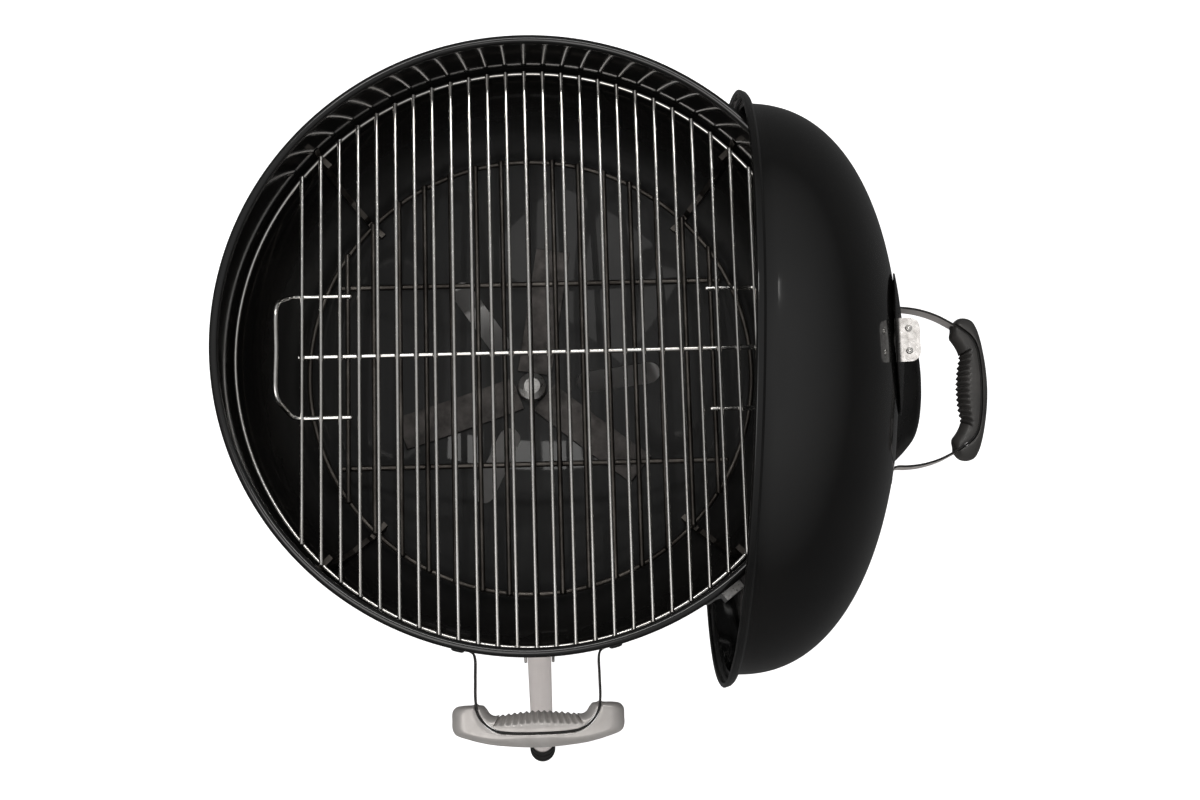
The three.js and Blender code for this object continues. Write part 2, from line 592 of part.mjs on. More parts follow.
function damper() {
  const { radius, sheet } = DAMPER;
  const curvature = 430;
  const sag = (r) => curvature - Math.sqrt(curvature ** 2 - r ** 2);
  const lift = 2.1;
  const radii = [4.2, 24, 46, radius];
  const disc = turnedRing([...radii.map((r) => [r, lift - sag(r)]),
    ...[...radii].reverse().map((r) => [r, lift + sheet - sag(r)])], 24);
  const tabOutline = new THREE.Shape();
  const half = TAB.width / 2;
  tabOutline.moveTo(-half, -2);
  tabOutline.lineTo(half, -2);
  tabOutline.lineTo(half, TAB.height - TAB.corner);
  tabOutline.absarc(half - TAB.corner, TAB.height - TAB.corner, TAB.corner, 0, Math.PI / 2);
  tabOutline.absarc(-half + TAB.corner, TAB.height - TAB.corner, TAB.corner, Math.PI / 2, Math.PI);
  const tabEdge = Math.sqrt(radius ** 2 - half ** 2) - 2.2;
  const tab = new THREE.ExtrudeGeometry(tabOutline, { depth: sheet, bevelEnabled: false, curveSegments: 4 })
    .rotateX(Math.PI / 2).translate(0, tabEdge + sheet, lift - sag(tabEdge) + 1);
  const rivetHeight = lift - sag(tabEdge) + TAB.height * 0.55;
  const rivetHoles = [-1, 1].map((side) => rod(1.9, 12, 8)
    .translate(side * 10, tabEdge, rivetHeight));
  const plain = cut(join([disc, tab]), [...ventHoles(DAMPER.holeRadius, 30), ...rivetHoles]);
  const rivet = (side) => turned([[0, -3], [1.6, -3], [1.6, 0], [3.2, 0], [2.4, 1.5], [0, 1.8]], 10)
    .rotateX(-Math.PI / 2).translate(side * 10, tabEdge + sheet + GAP, rivetHeight);
  const pivot = turned([[0, -10], [2.9, -10], [2.9, lift + sheet + GAP], [7, lift + sheet + GAP],
    [5.5, lift + sheet + 2.6], [0, lift + sheet + 3.2]], 14);
  return group(
    part('lid_damper', onDamperSeat(plain), aluminium),
    part('damper_tab_rivet_1', onDamperSeat(rivet(-1)), aluminium),
    part('damper_tab_rivet_2', onDamperSeat(rivet(1)), aluminium),
    part('damper_pivot_rivet', onDamperSeat(pivot), aluminium),
  );
}

// --- cradle, in the lid's frame --------------------------------------------------------------------
function cradle() {
  const { wire, restRadius, spread, hookAngles } = CRADLE;
  const onRest = (angle, w, radius = restRadius) => {
    const [u, v] = polar(radius, 270 + angle);
    return [u, v, w];
  };
  const side = (sign, top) => [
    ...top, [sign * 202, -60, -9], [sign * 195, -145, -9],
    onRest(sign * (spread + 2), -9, restRadius - 1),
    onRest(sign * (spread - 2.5), -5),
    onRest(sign * (spread - 6), 3),
  ];
  const arc = [-24, -12, 0, 12, 24].map((angle) => onRest(angle, 7));
  const frontTop = [[-210, 122, -7], [-210, 100, -7], [-208, 70, -7], [-204, 10, -8]];
  const rearTop = [[231.5, 122, -7], [231.5, 100, -7], [230, 70, -7], [220, 10, -8]];
  const wirePath = [...side(-1, frontTop), ...arc, ...side(1, rearTop).reverse()];
  const hooks = hookAngles.map((angle) => wireAlong(
    [
      onRest(angle, 7),
      onRest(angle, 19),
      onRest(angle, 25, restRadius - 3),
      onRest(angle, 27, restRadius - 12),
    ],
    wire - 0.8,
    6,
    5,
  ));
  return part('lid_cradle', join([wireAlong(wirePath, wire, 48), ...hooks]), chromedWire);
}

function cradleClamps(cradleMesh) {
  const solid = toSolid(cradleMesh.geometry.clone().applyMatrix4(cradleMesh.matrixWorld));
  return [['front', -52.4], ['rear', 47.5]].map(([name, azimuth]) => {
    const block = new THREE.BoxGeometry(15, 20, 26)
      .translate(BOWL.radius + 4.5, 0, -48).rotateZ(rad(azimuth));
    const clamp = toSolid(block).subtract(toSolid(bowlBlock(-GAP))).subtract(solid);
    return part(`cradle_clamp_${name}`, toGeometry(clamp), steel);
  });
}

// --- assembly --------------------------------------------------------------------------------------
const inLidFrame = (...children) => {
  const upright = group(...children);
  upright.quaternion.set(0.5, 0.5, 0.5, 0.5);
  const hung = group(upright);
  hung.position.copy(LID_CENTRE);
  hung.rotation.z = LID_AZIMUTH;
  return hung;
};

const cradleMesh = cradle();
const mounted = group(heatShield(), lidHandle());
mounted.applyMatrix4(handleTilt);
const hanging = inLidFrame(lidShell(), mounted, damper(), cradleMesh);
hanging.updateMatrixWorld(true);

const grill = group(
  bowl(), ...grateBrackets(), cookingGrate(), charcoalGrate(), ...legs(), ...wheels(), ashPan(),
  ...panClips(), ...sweeper(), frontHandle(), hanging, ...cradleClamps(cradleMesh),
);
const extent = new THREE.Box3().setFromObject(grill, true);
const middle = extent.getCenter(new THREE.Vector3());
grill.position.set(-middle.x, -middle.y, RIM_HEIGHT);

export default group(grill);
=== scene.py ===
import math

import bmesh
import bpy
import numpy as np
from mathutils import Matrix, Vector


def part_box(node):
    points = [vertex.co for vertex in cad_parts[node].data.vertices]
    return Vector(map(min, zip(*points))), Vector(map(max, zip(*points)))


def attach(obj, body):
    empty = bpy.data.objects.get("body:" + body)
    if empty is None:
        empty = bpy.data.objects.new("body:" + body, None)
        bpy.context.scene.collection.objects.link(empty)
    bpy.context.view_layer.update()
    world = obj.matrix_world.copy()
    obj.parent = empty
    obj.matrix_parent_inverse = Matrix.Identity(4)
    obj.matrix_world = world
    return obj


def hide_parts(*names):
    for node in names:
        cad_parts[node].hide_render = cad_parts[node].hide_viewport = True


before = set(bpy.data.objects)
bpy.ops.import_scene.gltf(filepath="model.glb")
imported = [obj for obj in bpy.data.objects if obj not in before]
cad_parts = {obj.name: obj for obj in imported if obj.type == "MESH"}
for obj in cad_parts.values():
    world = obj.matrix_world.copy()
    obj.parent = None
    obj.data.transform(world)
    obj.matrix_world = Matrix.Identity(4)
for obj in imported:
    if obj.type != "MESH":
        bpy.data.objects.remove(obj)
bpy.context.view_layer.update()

# ---- sizes, in millimetres
# The bowl's frame has its origin at the centre of the rim; x right, y to the back, z up.
MM = 0.001
RIM_Z = 690.0
GAP = 0.3
BOWL_R, BOWL_SIDE, BOWL_STRAIGHT, BOWL_DEPTH, BOWL_WALL, FLARE_HEIGHT = 281.0, 279.5, 80.0, 240.0, 2.0, 66
ROLL_R, ROLL_CENTRE = 4.3, 281.5
LID_RIM, LID_DEPTH, LID_DOME, LID_SHOULDER, LID_POWER, LID_WALL = 290.0, 160.5, 277.0, 10.5, 2.3, 2.0
LID_CENTRE = (189.5, -20.0, -165.0)
LID_TURN = math.radians(-2.8)
DAMPER_U, DAMPER_V, DAMPER_R, DAMPER_SHEET, DAMPER_LIFT = 21.5, 118.0, 66.0, 1.6, 2.1
DAMPER_HOLE, DAMPER_HOLE_CIRCLE, DAMPER_CURVE, DAMPER_TURN = 10.0, 36.0, 430.0, 9
LEG_TOP, LEG_Z, LEG_TILT = 196.0, -185.0, math.atan2(158, 505)
LEG_AZIMUTH = {"front": -90, "rear_right": 50, "rear_left": 130}
LEG_END = {"front": 520.0, "rear_right": 450.0, "rear_left": 450.0}
WHEEL_X, AXLE_Z = 246.0, 100.0 - RIM_Z
AXLE_Y = (LEG_TOP + (LEG_Z - AXLE_Z) * math.tan(LEG_TILT)) * math.sin(math.radians(50))
PAN_Z, PAN_R, PAN_FLOOR, PAN_DEPTH, PAN_SHEET = -400.0, 180.0, 148.0, 24.0, 1.4
SWEEP_AZIMUTH, LEVER_Z = -160, -262.0
FRONT_Z = -45.0

bowl_low, bowl_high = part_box("bowl")
AXIS = (bowl_low + bowl_high) / 2
BOWL = Matrix.Translation((AXIS.x, AXIS.y, RIM_Z * MM))
LID = (BOWL @ Matrix.Translation(Vector(LID_CENTRE) * MM) @ Matrix.Rotation(LID_TURN, 4, "Z")
       @ Matrix(((0, 0, 1, 0), (1, 0, 0, 0), (0, 1, 0, 0), (0, 0, 0, 1))))


# ---- curves and outlines
def fillet(points, radius, closed=False, steps=4):
    """Rounds the corners of a flat polyline. radius may be one number or one for each point."""
    pts = [np.array(p, float) for p in points]
    radii = radius if hasattr(radius, "__len__") else [radius] * len(pts)
    out = []
    for i, p in enumerate(pts):
        ends = not closed and i in (0, len(pts) - 1)
        before, after = pts[i - 1] - p, pts[(i + 1) % len(pts)] - p
        reach = min(np.linalg.norm(before), np.linalg.norm(after)) * 0.49
        if ends or radii[i] <= 0 or reach < 1e-6:
            out.append(p)
            continue
        a, b = before / np.linalg.norm(before), after / np.linalg.norm(after)
        turn = math.pi - math.acos(np.clip(a @ b, -1, 1))
        cut = min(radii[i] * math.tan(turn / 2), reach)
        if turn < 0.02:
            out.append(p)
            continue
        for k in range(steps + 1):
            t = k / steps
            out.append((1 - t) ** 2 * (p + a * cut) + 2 * t * (1 - t) * p + t * t * (p + b * cut))
    return out


def smooth_path(points, count):
    """Equally spaced points on a centripetal Catmull-Rom curve."""
    p = [np.array(q, float) for q in points]
    p = [2 * p[0] - p[1], *p, 2 * p[-1] - p[-2]]
    dense = []
    for a, b, c, d in zip(p, p[1:], p[2:], p[3:]):
        steps = [max(np.linalg.norm(v), 1e-9) ** 0.5 for v in (b - a, c - b, d - c)]
        ta, tb, tc, td = np.cumsum([0.0, *steps])
        for t in np.linspace(tb, tc, 24, endpoint=False):
            ab = (tb - t) / (tb - ta) * a + (t - ta) / (tb - ta) * b
            bc = (tc - t) / (tc - tb) * b + (t - tb) / (tc - tb) * c
            cd = (td - t) / (td - tc) * c + (t - tc) / (td - tc) * d
            abc = (tc - t) / (tc - ta) * ab + (t - ta) / (tc - ta) * bc
            bcd = (td - t) / (td - tb) * bc + (t - tb) / (td - tb) * cd
            dense.append((tc - t) / (tc - tb) * abc + (t - tb) / (tc - tb) * bcd)
    dense.append(p[-2])
    return resample(dense, count)


def lengths(points):
    """How far along a polyline each of its points is."""
    return np.concatenate([[0], np.cumsum(np.linalg.norm(np.diff(points, axis=0), axis=1))])


def resample(points, count):
    pts = np.array(points, float)
    run = lengths(pts)
    at = np.linspace(0, run[-1], count)
    return np.stack([np.interp(at, run, pts[:, k]) for k in range(pts.shape[1])], axis=1)


def mirrored(half):
    """Adds the other half of an outline that is the same on both sides of x = 0."""
    half = [tuple(p) for p in half]
    return half + [(-x, y) for x, y in reversed(half[:-1])]


def offset(line, distance):
    """A flat line moved sideways, to its left where the distance is positive."""
    line = np.array(line, float)
    ahead = np.gradient(line, axis=0)
    ahead /= np.linalg.norm(ahead, axis=1)[:, None]
    return line + distance * np.stack([-ahead[:, 1], ahead[:, 0]], axis=1)


def circle(radius, sides):
    return [(radius * math.cos(2 * math.pi * i / sides), radius * math.sin(2 * math.pi * i / sides))
            for i in range(sides)]


def polar(radius, azimuth):
    return radius * math.cos(math.radians(azimuth)), radius * math.sin(math.radians(azimuth))


def arc(x, y, radius, start, end, count):
    """Points on part of a circle round (x, y), between two angles in degrees."""
    return [(x + radius * math.cos(a), y + radius * math.sin(a))
            for a in np.radians(np.linspace(start, end, count))]


# ---- meshes: (points, faces), in millimetres
def lathe(profile, steps=192):
    """Turns (radius, height) pairs about Z. A profile that doesn't end on the axis is a closed ring."""
    profile = [(max(float(r), 0.0), float(z)) for r, z in profile]
    on_axis = profile[0][0] < 1e-6
    points, rows = [], []
    for r, z in profile:
        if r < 1e-6:
            rows.append([len(points)] * steps)
            points.append((0, 0, z))
        else:
            rows.append(list(range(len(points), len(points) + steps)))
            points += [(*polar(r, 360 * i / steps), z) for i in range(steps)]
    pairs = list(zip(rows, rows[1:])) + ([] if on_axis else [(rows[-1], rows[0])])
    faces = []
    for lower, upper in pairs:
        for i in range(steps):
            j = (i + 1) % steps
            face = list(dict.fromkeys((lower[i], lower[j], upper[j], upper[i])))
            faces.append(face)
    return points, faces


def tube_faces(count, size, closed=False):
    """The faces round a row of rings, with a cap at each end unless the row closes on itself."""
    faces = []
    for i in range(count if closed else count - 1):
        a, b = i * size, ((i + 1) % count) * size
        for k in range(size):
            m = (k + 1) % size
            faces.append([a + k, a + m, b + m, b + k])
    if not closed:
        faces += [list(range(size))[::-1], list(range((count - 1) * size, count * size))]
    return faces


def sweep(path, section, closed=False, up=None, scales=None):
    """Moves a closed section, in (side, up) pairs, along a path."""
    path = np.array(path, float)
    count = len(path)
    if closed:
        ahead = np.roll(path, -1, 0) - np.roll(path, 1, 0)
    else:
        ahead = np.gradient(path, axis=0)
    ahead /= np.maximum(np.linalg.norm(ahead, axis=1), 1e-9)[:, None]
    scales = np.ones(count) if scales is None else np.array(scales)
    section = np.array(section, float)
    points = []
    if up is None:
        guide = np.array([0, 0, 1.0]) if abs(ahead[0][2]) < 0.9 else np.array([1.0, 0, 0])
    else:
        guide = np.array(up, float)
    for i in range(count):
        side = np.cross(ahead[i], guide)
        side /= np.linalg.norm(side)
        normal = np.cross(side, ahead[i])
        if up is None:
            guide = normal
        points.append(path[i] + scales[i] * (section[:, :1] * side + section[:, 1:] * normal))
    return np.concatenate(points), tube_faces(count, len(section), closed)


def wire(points, radius, count=60, sides=14, smooth=True):
    """A round wire with rounded ends."""
    path = smooth_path(points, count) if smooth else np.array(points, float)
    ends = [(0.0, 0.22), (0.12, 0.6), (0.35, 0.88), (0.75, 1.0)]
    first, last = path[1] - path[0], path[-2] - path[-1]
    room = 0.9 * min(np.linalg.norm(first), np.linalg.norm(last))
    depth = min(radius, room)
    first, last = first / np.linalg.norm(first), last / np.linalg.norm(last)
    start = [path[0] + first * depth * along for along, _ in ends]
    finish = [path[-1] + last * depth * along for along, _ in reversed(ends)]
    scales = [s for _, s in ends] + [1.0] * (len(path) - 2) + [s for _, s in reversed(ends)]
    return sweep([*start, *path[1:-1], *finish], circle(radius, sides), scales=scales)


def straight(start, end, radius):
    return wire(np.linspace(start, end, 6), radius, smooth=False)


def ring(radius, tube, z):
    return lathe([(radius + r, z + h) for r, h in circle(tube, 16)], 180)


def drill(radius, length, sides=48):
    """A cylinder on Z, centred on the origin, for cutting a hole."""
    return lathe([(0, -length / 2), (radius, -length / 2), (radius, length / 2), (0, length / 2)], sides)


def bead(centre, radius, flat=0.8):
    """A small round weld."""
    ball = bmesh.new()
    bmesh.ops.create_icosphere(ball, subdivisions=2, radius=radius)
    points = [(v.co.x + centre[0], v.co.y + centre[1], v.co.z * flat + centre[2]) for v in ball.verts]
    faces = [[v.index for v in f.verts] for f in ball.faces]
    ball.free()
    return points, faces


def slab(outline, thickness):
    """A flat plate in the XY plane, centred on it."""
    outline = [tuple(p) for p in outline]
    count = len(outline)
    points = [(x, y, -thickness / 2) for x, y in outline] + [(x, y, thickness / 2) for x, y in outline]
    faces = [list(range(count))[::-1], list(range(count, 2 * count))]
    faces += [[i, (i + 1) % count, count + (i + 1) % count, count + i] for i in range(count)]
    return points, faces


def moved(shape, matrix):
    points = np.array(shape[0], float)
    m = np.array(matrix)
    return points @ m[:3, :3].T + m[:3, 3], shape[1]


def joined(*shapes):
    points, faces, base = [], [], 0
    for p, f in shapes:
        points.append(np.array(p, float).reshape(-1, 3))
        faces += [[i + base for i in face] for face in f]
        base += len(p)
    return np.concatenate(points), faces


def turn(axis, degrees):
    return Matrix.Rotation(math.radians(degrees), 4, axis)


def shift(x, y, z):
    return Matrix.Translation((x, y, z))


def metres(matrix):
    """The same placing with its shift in metres."""
    out = matrix.copy()
    out.translation = out.translation * MM
    return out


# ---- objects
def new_object(name, data):
    obj = bpy.data.objects.new(name, data)
    bpy.context.scene.collection.objects.link(obj)
    return obj


def mesh_object(name, shape, welded=True):
    mesh = bpy.data.meshes.new(name)
    mesh.from_pydata([tuple(p) for p in np.array(shape[0], float) * MM], [], [list(f) for f in shape[1]])
    obj = new_object(name, mesh)
    bm = bmesh.new()
    bm.from_mesh(mesh)
    if welded:
        bmesh.ops.remove_doubles(bm, verts=bm.verts, dist=1e-6)
    bmesh.ops.recalc_face_normals(bm, faces=bm.faces)
    bm.to_mesh(mesh)
    bm.free()
    return obj


def boolean(obj, cutters):
    """Cuts shapes out of an object and keeps the result as its mesh."""
    made = [mesh_object(f"{obj.name}_cutter_{i}", shape) for i, shape in enumerate(cutters)]
    for tool in made:
        modifier = obj.modifiers.new("cut", "BOOLEAN")
        modifier.operation, modifier.object, modifier.solver = "DIFFERENCE", tool, "EXACT"
    keep_modifiers(obj)
    for tool in made:
        bpy.data.objects.remove(tool)


def keep_modifiers(obj):
    evaluated = obj.evaluated_get(bpy.context.evaluated_depsgraph_get())
    mesh = bpy.data.meshes.new_from_object(evaluated)
    obj.modifiers.clear()
    obj.data = mesh


def bevel(obj, width, angle):
    """Breaks the edges that are sharper than the angle."""
    modifier = obj.modifiers.new("round", "BEVEL")
    modifier.width, modifier.segments = width * MM, 3
    modifier.limit_method, modifier.angle_limit = "ANGLE", math.radians(angle)
    return modifier


def shade(obj, angle=38):
    """Smooth faces, with edges sharper than the angle kept crisp."""
    bm = bmesh.new()
    bm.from_mesh(obj.data)
    for face in bm.faces:
        face.smooth = True
    for edge in bm.edges:
        edge.smooth = len(edge.link_faces) == 2 and edge.calc_face_angle(0) < math.radians(angle)
    bm.to_mesh(obj.data)
    bm.free()
    weighted = obj.modifiers.new("weighted_normals", "WEIGHTED_NORMAL")
    weighted.keep_sharp = True


def dress(obj, look, body, nodes=()):
    """Gives a piece its finish, its body and the CAD nodes it stands for."""
    obj.data.materials.clear()
    obj.data.materials.append(look.material)
    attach(obj, body)
    if nodes:
        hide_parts(*nodes)


def piece(name, shape, look, body, nodes, matrix=BOWL, cutters=(), rounding=0, angle=38, welded=True,
          baked=False):
    """One finished piece. Its mesh is in its own frame, or baked into the world's."""
    obj = mesh_object(name, shape, welded)
    if cutters:
        boolean(obj, cutters)
    if rounding:
        bevel(obj, rounding, 40).miter_outer = "MITER_ARC"
        keep_modifiers(obj)
    shade(obj, angle)
    if baked:
        obj.data.transform(matrix)
    else:
        obj.matrix_world = matrix
    dress(obj, look, body, nodes)


# ---- materials
class Look:
    """Builds one procedural material in the object's own coordinates, in metres."""

    def __init__(self, name, slot, **values):
        self.material = bpy.data.materials.new(name)
        self.material.use_nodes = True
        self.tree = self.material.node_tree
        self.shader = self.tree.nodes["Principled BSDF"]
        self.coordinates = self.tree.nodes.new("ShaderNodeTexCoord").outputs["Object"]
        self.slot = slot
        self.height = None
        self.fill(self.shader, values)

    def put(self, value, socket):
        """Links another node's output in, or sets a plain value."""
        if hasattr(value, "links"):
            self.tree.links.new(value, socket)
        else:
            socket.default_value = value

    def fill(self, node, values):
        for name, value in values.items():
            self.put(value, node.inputs[name.replace("_", " ")])
        return node

    def node(self, kind, **values):
        return self.fill(self.tree.nodes.new("ShaderNode" + kind), values)

    def stretched(self, scale):
        return self.node("Mapping", Scale=scale, Vector=self.coordinates).outputs["Vector"]

    def noise(self, scale, detail=3.0, stretch=None, distortion=0.0):
        vector = self.stretched(stretch) if stretch else self.coordinates
        node = self.node("TexNoise", Scale=scale, Detail=detail, Roughness=NOISE_ROUGHNESS,
                         Distortion=distortion, Vector=vector)
        return node.outputs["Fac"]

    def cells(self, scale):
        return self.node("TexVoronoi", Scale=scale, Vector=self.coordinates).outputs["Distance"]

    def axis(self, name):
        """One of the piece's own coordinates."""
        return self.node("SeparateXYZ", Vector=self.coordinates).outputs[name]

    def radius(self):
        """Distance from the piece's own Z axis."""
        node = self.node("VectorMath")
        node.operation = "LENGTH"
        self.put(self.stretched((1, 1, 0)), node.inputs[0])
        return node.outputs["Value"]

    def math(self, operation, *values):
        node = self.node("Math")
        node.operation = operation
        for value, socket in zip(values, node.inputs):
            self.put(value, socket)
        return node.outputs["Value"]

    def ranged(self, source, low, high, start=0.35, end=0.65):
        node = self.node("MapRange", Value=source, From_Min=start, From_Max=end, To_Min=low, To_Max=high)
        return node.outputs["Result"]

    def ramp(self, source, stops):
        node = self.node("ValToRGB", Fac=source)
        elements = node.color_ramp.elements
        while len(elements) < len(stops):
            elements.new(0.5)
        for element, (position, colour) in zip(elements, stops):
            element.position, element.color = position, (*colour, 1)
        return node.outputs["Color"]

    def mix(self, factor, a, b):
        node = self.node("Mix")
        node.data_type = "RGBA"
        for value, socket in ((factor, 0), (a, 6), (b, 7)):
            self.put((*value, 1) if isinstance(value, tuple) else value, node.inputs[socket])
        return node.outputs[2]

    def colour(self, source):
        self.put(source, self.shader.inputs["Base Color"])

    def rough(self, source):
        self.put(source, self.shader.inputs["Roughness"])

    def bump(self, source, depth_mm):
        node = self.node("Bump", Strength=1.0, Distance=depth_mm * MM, Height=source)
        if self.height:
            self.put(self.height, node.inputs["Normal"])
        self.height = node.outputs["Normal"]
        self.put(self.height, self.shader.inputs["Normal"])


def grey(value, warm=0.0):
    return value * (1 + warm), value, value * (1 - warm)


def finish(name, slot, tone, stops, shine, rough, grain, grain_depth, **values):
    """Colour and roughness that drift over the surface, with a fine grain. tone, shine and grain are
    (scale, detail) of a noise."""
    look = Look(name, slot, **values)
    look.colour(look.ramp(look.noise(*tone), stops))
    look.rough(look.ranged(look.noise(*shine), *rough))
    look.bump(look.noise(*grain), grain_depth)
    return look


def enamel():
    """Porcelain enamel: deep black glass with a faint orange peel and dull patches. It is clean at the rim
    and sooty from SOOT_FROM down to SOOT_FULL."""
    look = Look("black_enamel", "enamel", Metallic=0.0, IOR=1.52, Coat_Weight=0.25, Coat_Roughness=0.03)
    look.colour(look.ramp(look.noise(9, 4), [(0.3, grey(0.0045)), (0.7, grey(0.0075, 0.05))]))
    smear = look.noise(28, 5, (1, 1, 0.35))
    soot = look.ranged(look.axis("Z"), 0.5, 0.0, SOOT_FULL, SOOT_FROM)
    look.rough(look.math("ADD", look.ranged(smear, 0.07, 0.14), soot))
    look.bump(look.noise(240, 2), 0.012)
    look.bump(look.noise(26, 1), 0.10)
    return look


def brushed(name, slot, low, high, rough, stretch, lines=1.0, metallic=1.0):
    """Satin metal, brushed along one of its own axes."""
    look = Look(name, slot, Metallic=metallic)
    streak = look.noise(lines * 900, 3, stretch)
    tone = look.mix(0.5, streak, look.noise(18, 4))
    look.colour(look.ramp(tone, [(0.3, low), (0.7, high)]))
    look.rough(look.ranged(streak, rough - 0.06, rough + 0.08))
    look.bump(streak, 0.012)
    return look


def strap_metal():
    """Satin strap steel whose two sheared edges, across the strap's own Z, carry painted shade: near black.
    """
    look = brushed("strap_steel", "steel", (0.56, 0.52, 0.50), (0.70, 0.66, 0.64), 0.34, (1, 1, 0.02),
                   lines=0.7, metallic=0.4)
    face = look.shader.inputs["Base Color"].links[0].from_socket
    # Painted shade: a narrow band along each edge of the strap is turned near black.
    edge = look.ranged(look.math("ABSOLUTE", look.axis("Z")), 0.0, 1.0, 0.0090, 0.0096)
    look.colour(look.mix(edge, face, (0.012, 0.011, 0.010)))
    return look


def spun():
    """Sheet aluminium spun on a lathe: fine rings round its axis."""
    look = Look("spun_aluminium", "aluminium", Metallic=1.0)
    rings = look.math("SINE", look.math("MULTIPLY", look.radius(), SPUN_RINGS))
    cloud = look.noise(14, 4)
    look.colour(look.ramp(cloud, [(0.3, (0.60, 0.585, 0.57)), (0.7, (0.74, 0.725, 0.71))]))
    look.rough(look.ranged(cloud, 0.32, 0.44))
    look.bump(rings, 0.006)
    return look


def hammered():
    """The damper: aluminium with small handling dents, its disc darkened near black as painted shade and its
    folded tab bright.
    """
    look = Look("damper_aluminium_painted_shade", "aluminium", Metallic=1.0)
    dents = look.noise(170, 2, None, 0.4)
    silver = look.ramp(dents, [(0.3, (0.50, 0.48, 0.46)), (0.7, (0.80, 0.78, 0.76))])
    on_tab = look.math("MULTIPLY", look.ranged(look.axis("Z"), 0.0, 1.0, 0.0002, 0.0022),
                       look.ranged(look.axis("Y"), 0.0, 1.0, 0.054, 0.056))
    # Painted shade: the disc outside the tab is turned near black; the tab keeps the aluminium's own silver.
    look.colour(look.mix(on_tab, (0.035, 0.034, 0.033), silver))
    look.rough(look.ranged(look.noise(400), 0.22, 0.36))
    look.bump(dents, 0.16)
    return look


def moulded(name, slot, low, high, metallic, rough):
    """Moulded glass-filled plastic with a fine spark-eroded grain."""
    look = Look(name, slot, Metallic=metallic, IOR=1.5)
    look.colour(look.ramp(look.noise(60, 4), [(0.3, low), (0.7, high)]))
    look.rough(look.ranged(look.noise(220), rough - 0.05, rough + 0.06))
    look.bump(look.cells(2600), 0.012)
    look.bump(look.noise(1500, 2), 0.008)
    return look


NOISE_ROUGHNESS = 0.55
SOOT_FROM, SOOT_FULL = -0.11, -0.20
SPUN_RINGS = 5200.0
ENAMEL = enamel()
HEAT_PAINT = finish("heat_black_paint", "black_paint", (40, 5),
                    [(0.3, grey(0.005)), (0.7, grey(0.009, 0.04))],
                    (90, 3), (0.26, 0.36), (900, 2), 0.015, Metallic=0.0, IOR=1.5)
BRIGHT_WIRE = finish("plated_rods", "plated_wire", (34, 4),
                     [(0.28, (0.70, 0.67, 0.63)), (0.5, (0.80, 0.78, 0.75)), (0.75, (0.88, 0.87, 0.85))],
                     (200, 3), (0.10, 0.17), (300, 2), 0.004, Metallic=1.0)
DARK_WIRE = finish("heated_rods", "charcoal_wire", (22, 5),
                   [(0.25, (0.04, 0.034, 0.03)), (0.5, (0.09, 0.082, 0.074)), (0.72, (0.17, 0.155, 0.14))],
                   (160, 4), (0.32, 0.55), (800, 3), 0.04, Metallic=1.0)
# Painted reflection: the legs are satin aluminium; their pale, mostly non-metallic base colour stands in for
# the bright light the metal reflects.
PAINTED_SHEEN_LEG_METAL = brushed("leg_aluminium_painted_sheen", "aluminium", (0.76, 0.70, 0.675), (0.84, 0.785, 0.76), 0.38,
                    (1, 1, 0.012), metallic=0.25)
STRAP_METAL = strap_metal()
PLAIN_STEEL = brushed("zinc_steel", "steel", (0.42, 0.41, 0.39), (0.62, 0.61, 0.60), 0.32, (1, 1, 0.3),
                      lines=0.4)
SPUN = spun()
DAMPER_METAL_WITH_PAINTED_SHADE = hammered()
# Painted sheen: the grip plastic is really dark grey; this light grey base colour stands in for the softbox's
# reflection on its satin top.
PAINTED_SHEEN_GRIP = moulded("grip_plastic", "grip_plastic", (0.50, 0.475, 0.455), (0.58, 0.555, 0.535), 0.4, 0.34)
DARK_GRIP = moulded("shaded_grip_plastic", "grip_plastic", (0.050, 0.048, 0.046), (0.075, 0.071, 0.067),
                    0.2, 0.38)
BLACK_SCREW = moulded("blacked_screws", "steel", (0.014, 0.014, 0.014), (0.03, 0.03, 0.029), 0.6, 0.34)
# The sweeper blades' aluminium, darkened almost to black.
DARKENED_BLADE_METAL = moulded("darkened_blade_aluminium", "aluminium", (0.035, 0.032, 0.030), (0.11, 0.10, 0.095), 0.7, 0.45)
BLACK_PLASTIC = moulded("black_plastic", "black_plastic", (0.010, 0.0095, 0.009), (0.018, 0.017, 0.016),
                        0.0, 0.42)
TYRE = finish("tyre_plastic", "tyre", (45, 5), [(0.3, grey(0.008)), (0.7, grey(0.017, 0.06))],
              (80, 4), (0.5, 0.72), (1100, 2), 0.03, Metallic=0.0)


# ---- bowl
def bowl_curve(inset):
    """From the lip of the hole for the spindle, up the side to where the straight wall starts."""
    count, hole = 72, 5.0
    side = BOWL_SIDE - inset
    bottom = BOWL_DEPTH - BOWL_STRAIGHT - inset
    start = math.asin(hole / side)
    angles = [start + (math.pi / 2 - start) * i / count for i in range(count + 1)]
    return [(side * math.sin(t), -BOWL_STRAIGHT - bottom * math.cos(t)) for t in angles]


def bowl_inside_z(radius):
    share = 1 - (radius / (BOWL_SIDE - BOWL_WALL)) ** 2
    return -BOWL_STRAIGHT - (BOWL_DEPTH - BOWL_STRAIGHT - BOWL_WALL) * math.sqrt(share)


def bowl_solid(inset):
    """The bowl filled up, for cutting what meets it."""
    return lathe([(0, bowl_curve(inset)[0][1]), *bowl_curve(inset), (BOWL_R - inset, 0), (0, 0)], 128)


